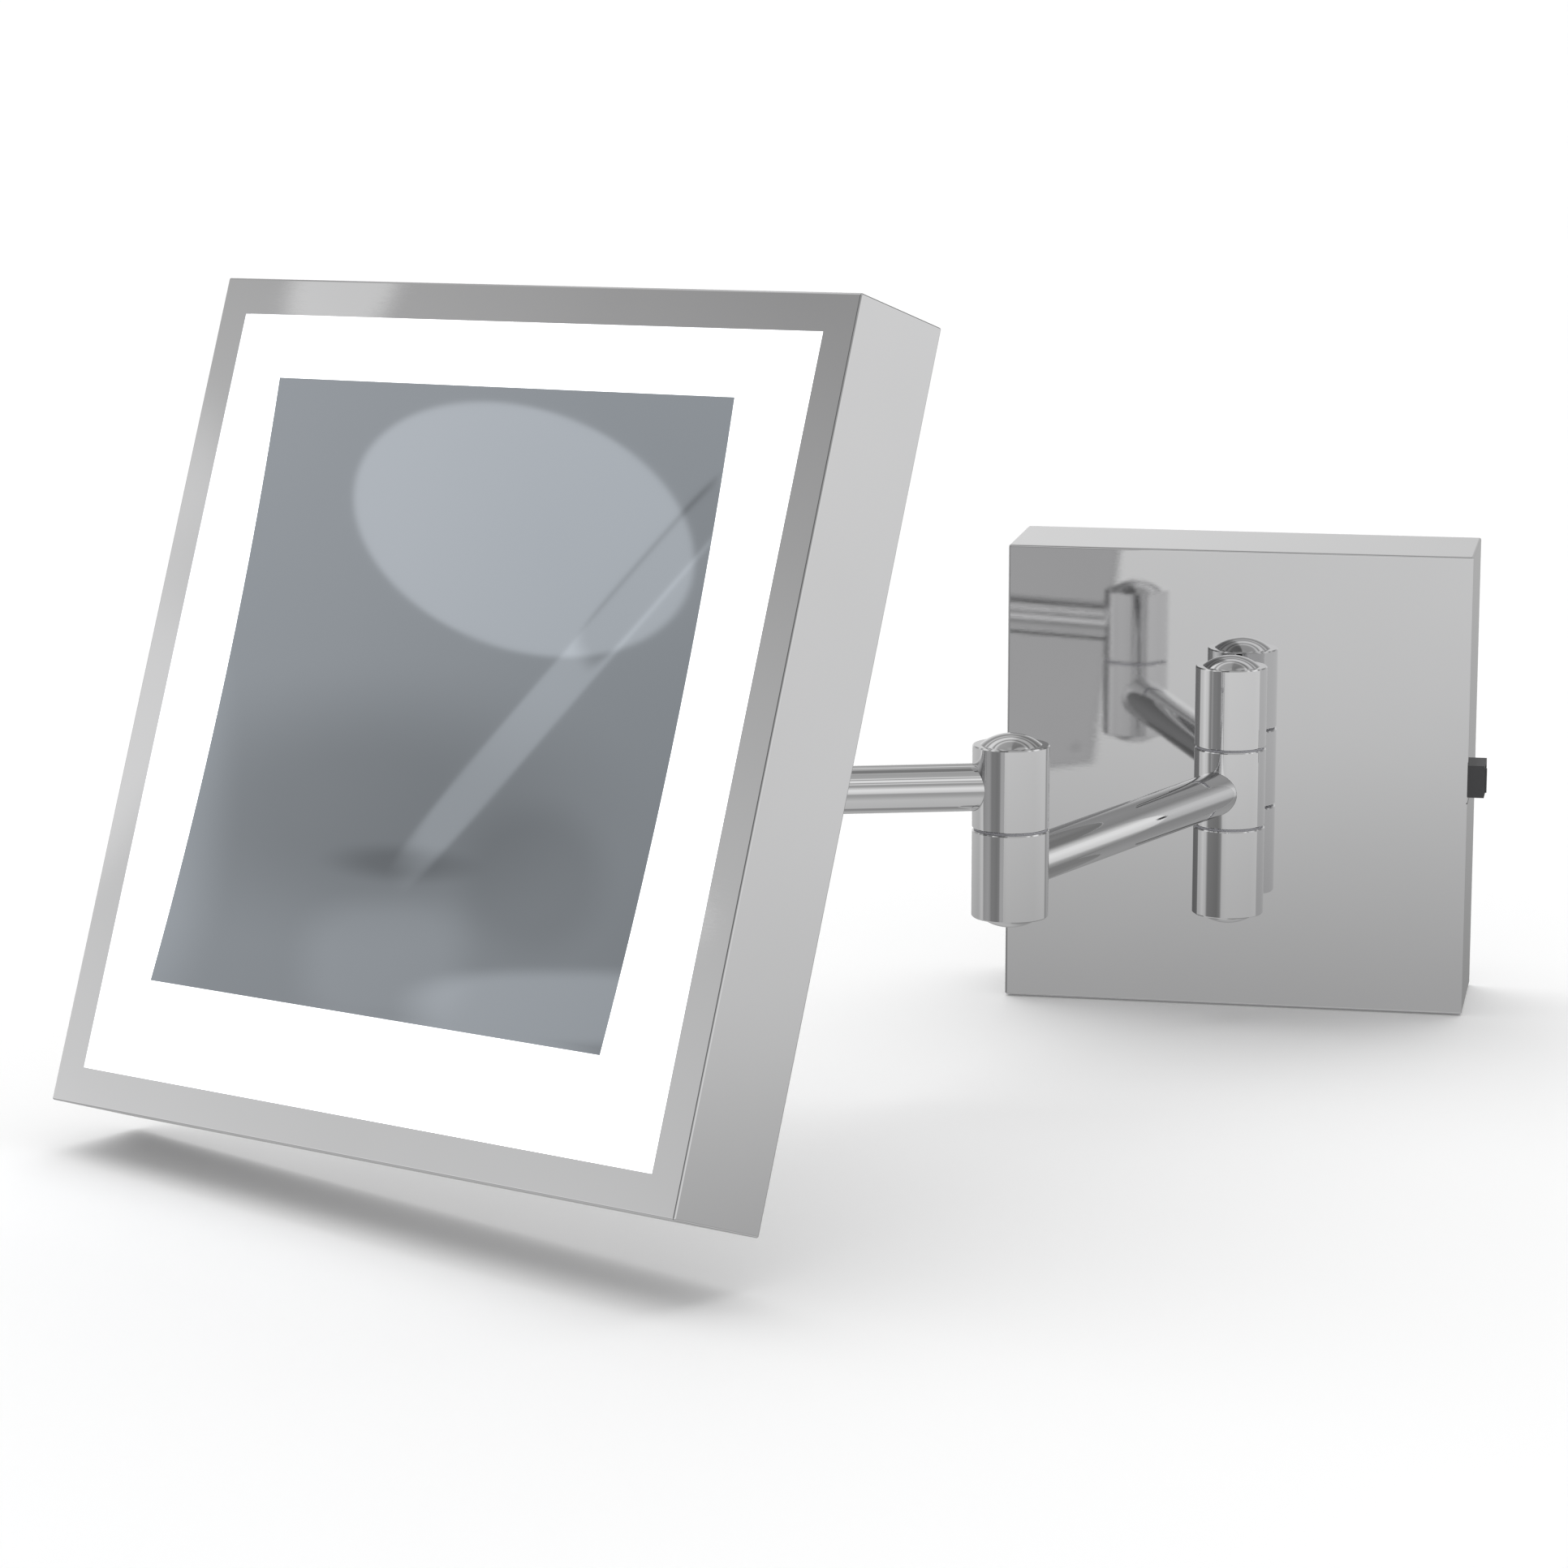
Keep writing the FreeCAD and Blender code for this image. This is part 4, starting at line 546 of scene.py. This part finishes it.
def studio_brightness(tree):
    """The designed studio's brightness in the direction that a reflection looks."""
    coordinates = tree.nodes.new("ShaderNodeTexCoord")
    parts = tree.nodes.new("ShaderNodeSeparateXYZ")
    tree.links.new(coordinates.outputs["Generated"], parts.inputs["Vector"])
    forward = calculate(tree, "MULTIPLY", parts.outputs["Y"], -1.0)
    around = calculate(tree, "DEGREES", calculate(tree, "ARCTAN2", parts.outputs["X"], forward))
    rise = calculate(tree, "DEGREES", calculate(tree, "ARCSINE", parts.outputs["Z"]))
    turn_share = calculate(tree, "ADD", calculate(tree, "DIVIDE", around, 360), 0.5)
    rise_share = calculate(tree, "ADD", calculate(tree, "DIVIDE", rise, 180), 0.5)
    across = ramp(tree, turn_share, [((angle + 180) / 360, value) for angle, value in ROUND])
    upward = ramp(tree, rise_share, [((angle + 90) / 180, value) for angle, value in RISE])
    brightness = calculate(tree, "MULTIPLY", across, upward)
    for panel in PANELS:
        brightness = calculate(tree, "ADD", brightness, softbox(tree, around, rise, panel))
    return brightness


def make_world():
    """White where the camera looks past the object, a soft studio in the chrome, even light elsewhere."""
    world = bpy.data.worlds.new("studio")
    bpy.context.scene.world = world
    world.use_nodes = True
    tree = world.node_tree
    tree.nodes.clear()

    def background(strength, brightness=None):
        """A white background, or one of a linked brightness."""
        node = tree.nodes.new("ShaderNodeBackground")
        node.inputs["Color"].default_value = (1, 1, 1, 1)
        node.inputs["Strength"].default_value = strength
        if brightness is not None:
            tree.links.new(brightness, node.inputs["Color"])
        return node.outputs["Background"]

    def mix(share, first, second):
        node = tree.nodes.new("ShaderNodeMixShader")
        tree.links.new(share, node.inputs["Fac"])
        tree.links.new(first, node.inputs[1])
        tree.links.new(second, node.inputs[2])
        return node.outputs["Shader"]

    path = tree.nodes.new("ShaderNodeLightPath")
    reflected = background(STUDIO_STRENGTH, studio_brightness(tree))
    lit = mix(path.outputs["Is Glossy Ray"], background(EVEN_LIGHT), reflected)
    seen = mix(path.outputs["Is Camera Ray"], lit, background(1.0))
    output = tree.nodes.new("ShaderNodeOutputWorld")
    tree.links.new(seen, output.inputs["Surface"])


SUN_STRENGTH = 1.95
SUN_RISE = 56.0
SUN_ROUND = 158.0
SUN_SOFTNESS = 92.0


def make_sun():
    """A large soft light from above and behind, so that the shadows fall forwards."""
    data = bpy.data.lights.new("sun", "SUN")
    data.energy = SUN_STRENGTH
    data.angle = math.radians(SUN_SOFTNESS)
    sun = bpy.data.objects.new("sun", data)
    bpy.context.scene.collection.objects.link(sun)
    rise = math.radians(SUN_RISE)
    turn = math.radians(SUN_ROUND)
    level = math.cos(rise)
    towards = Vector((-level * math.sin(turn), -level * math.cos(turn), math.sin(rise)))
    sun.rotation_euler = towards.to_track_quat("Z", "Y").to_euler()
    sun.visible_glossy = False


make_floor()
make_world()
make_sun()
bpy.context.scene.view_settings.view_transform = "Standard"
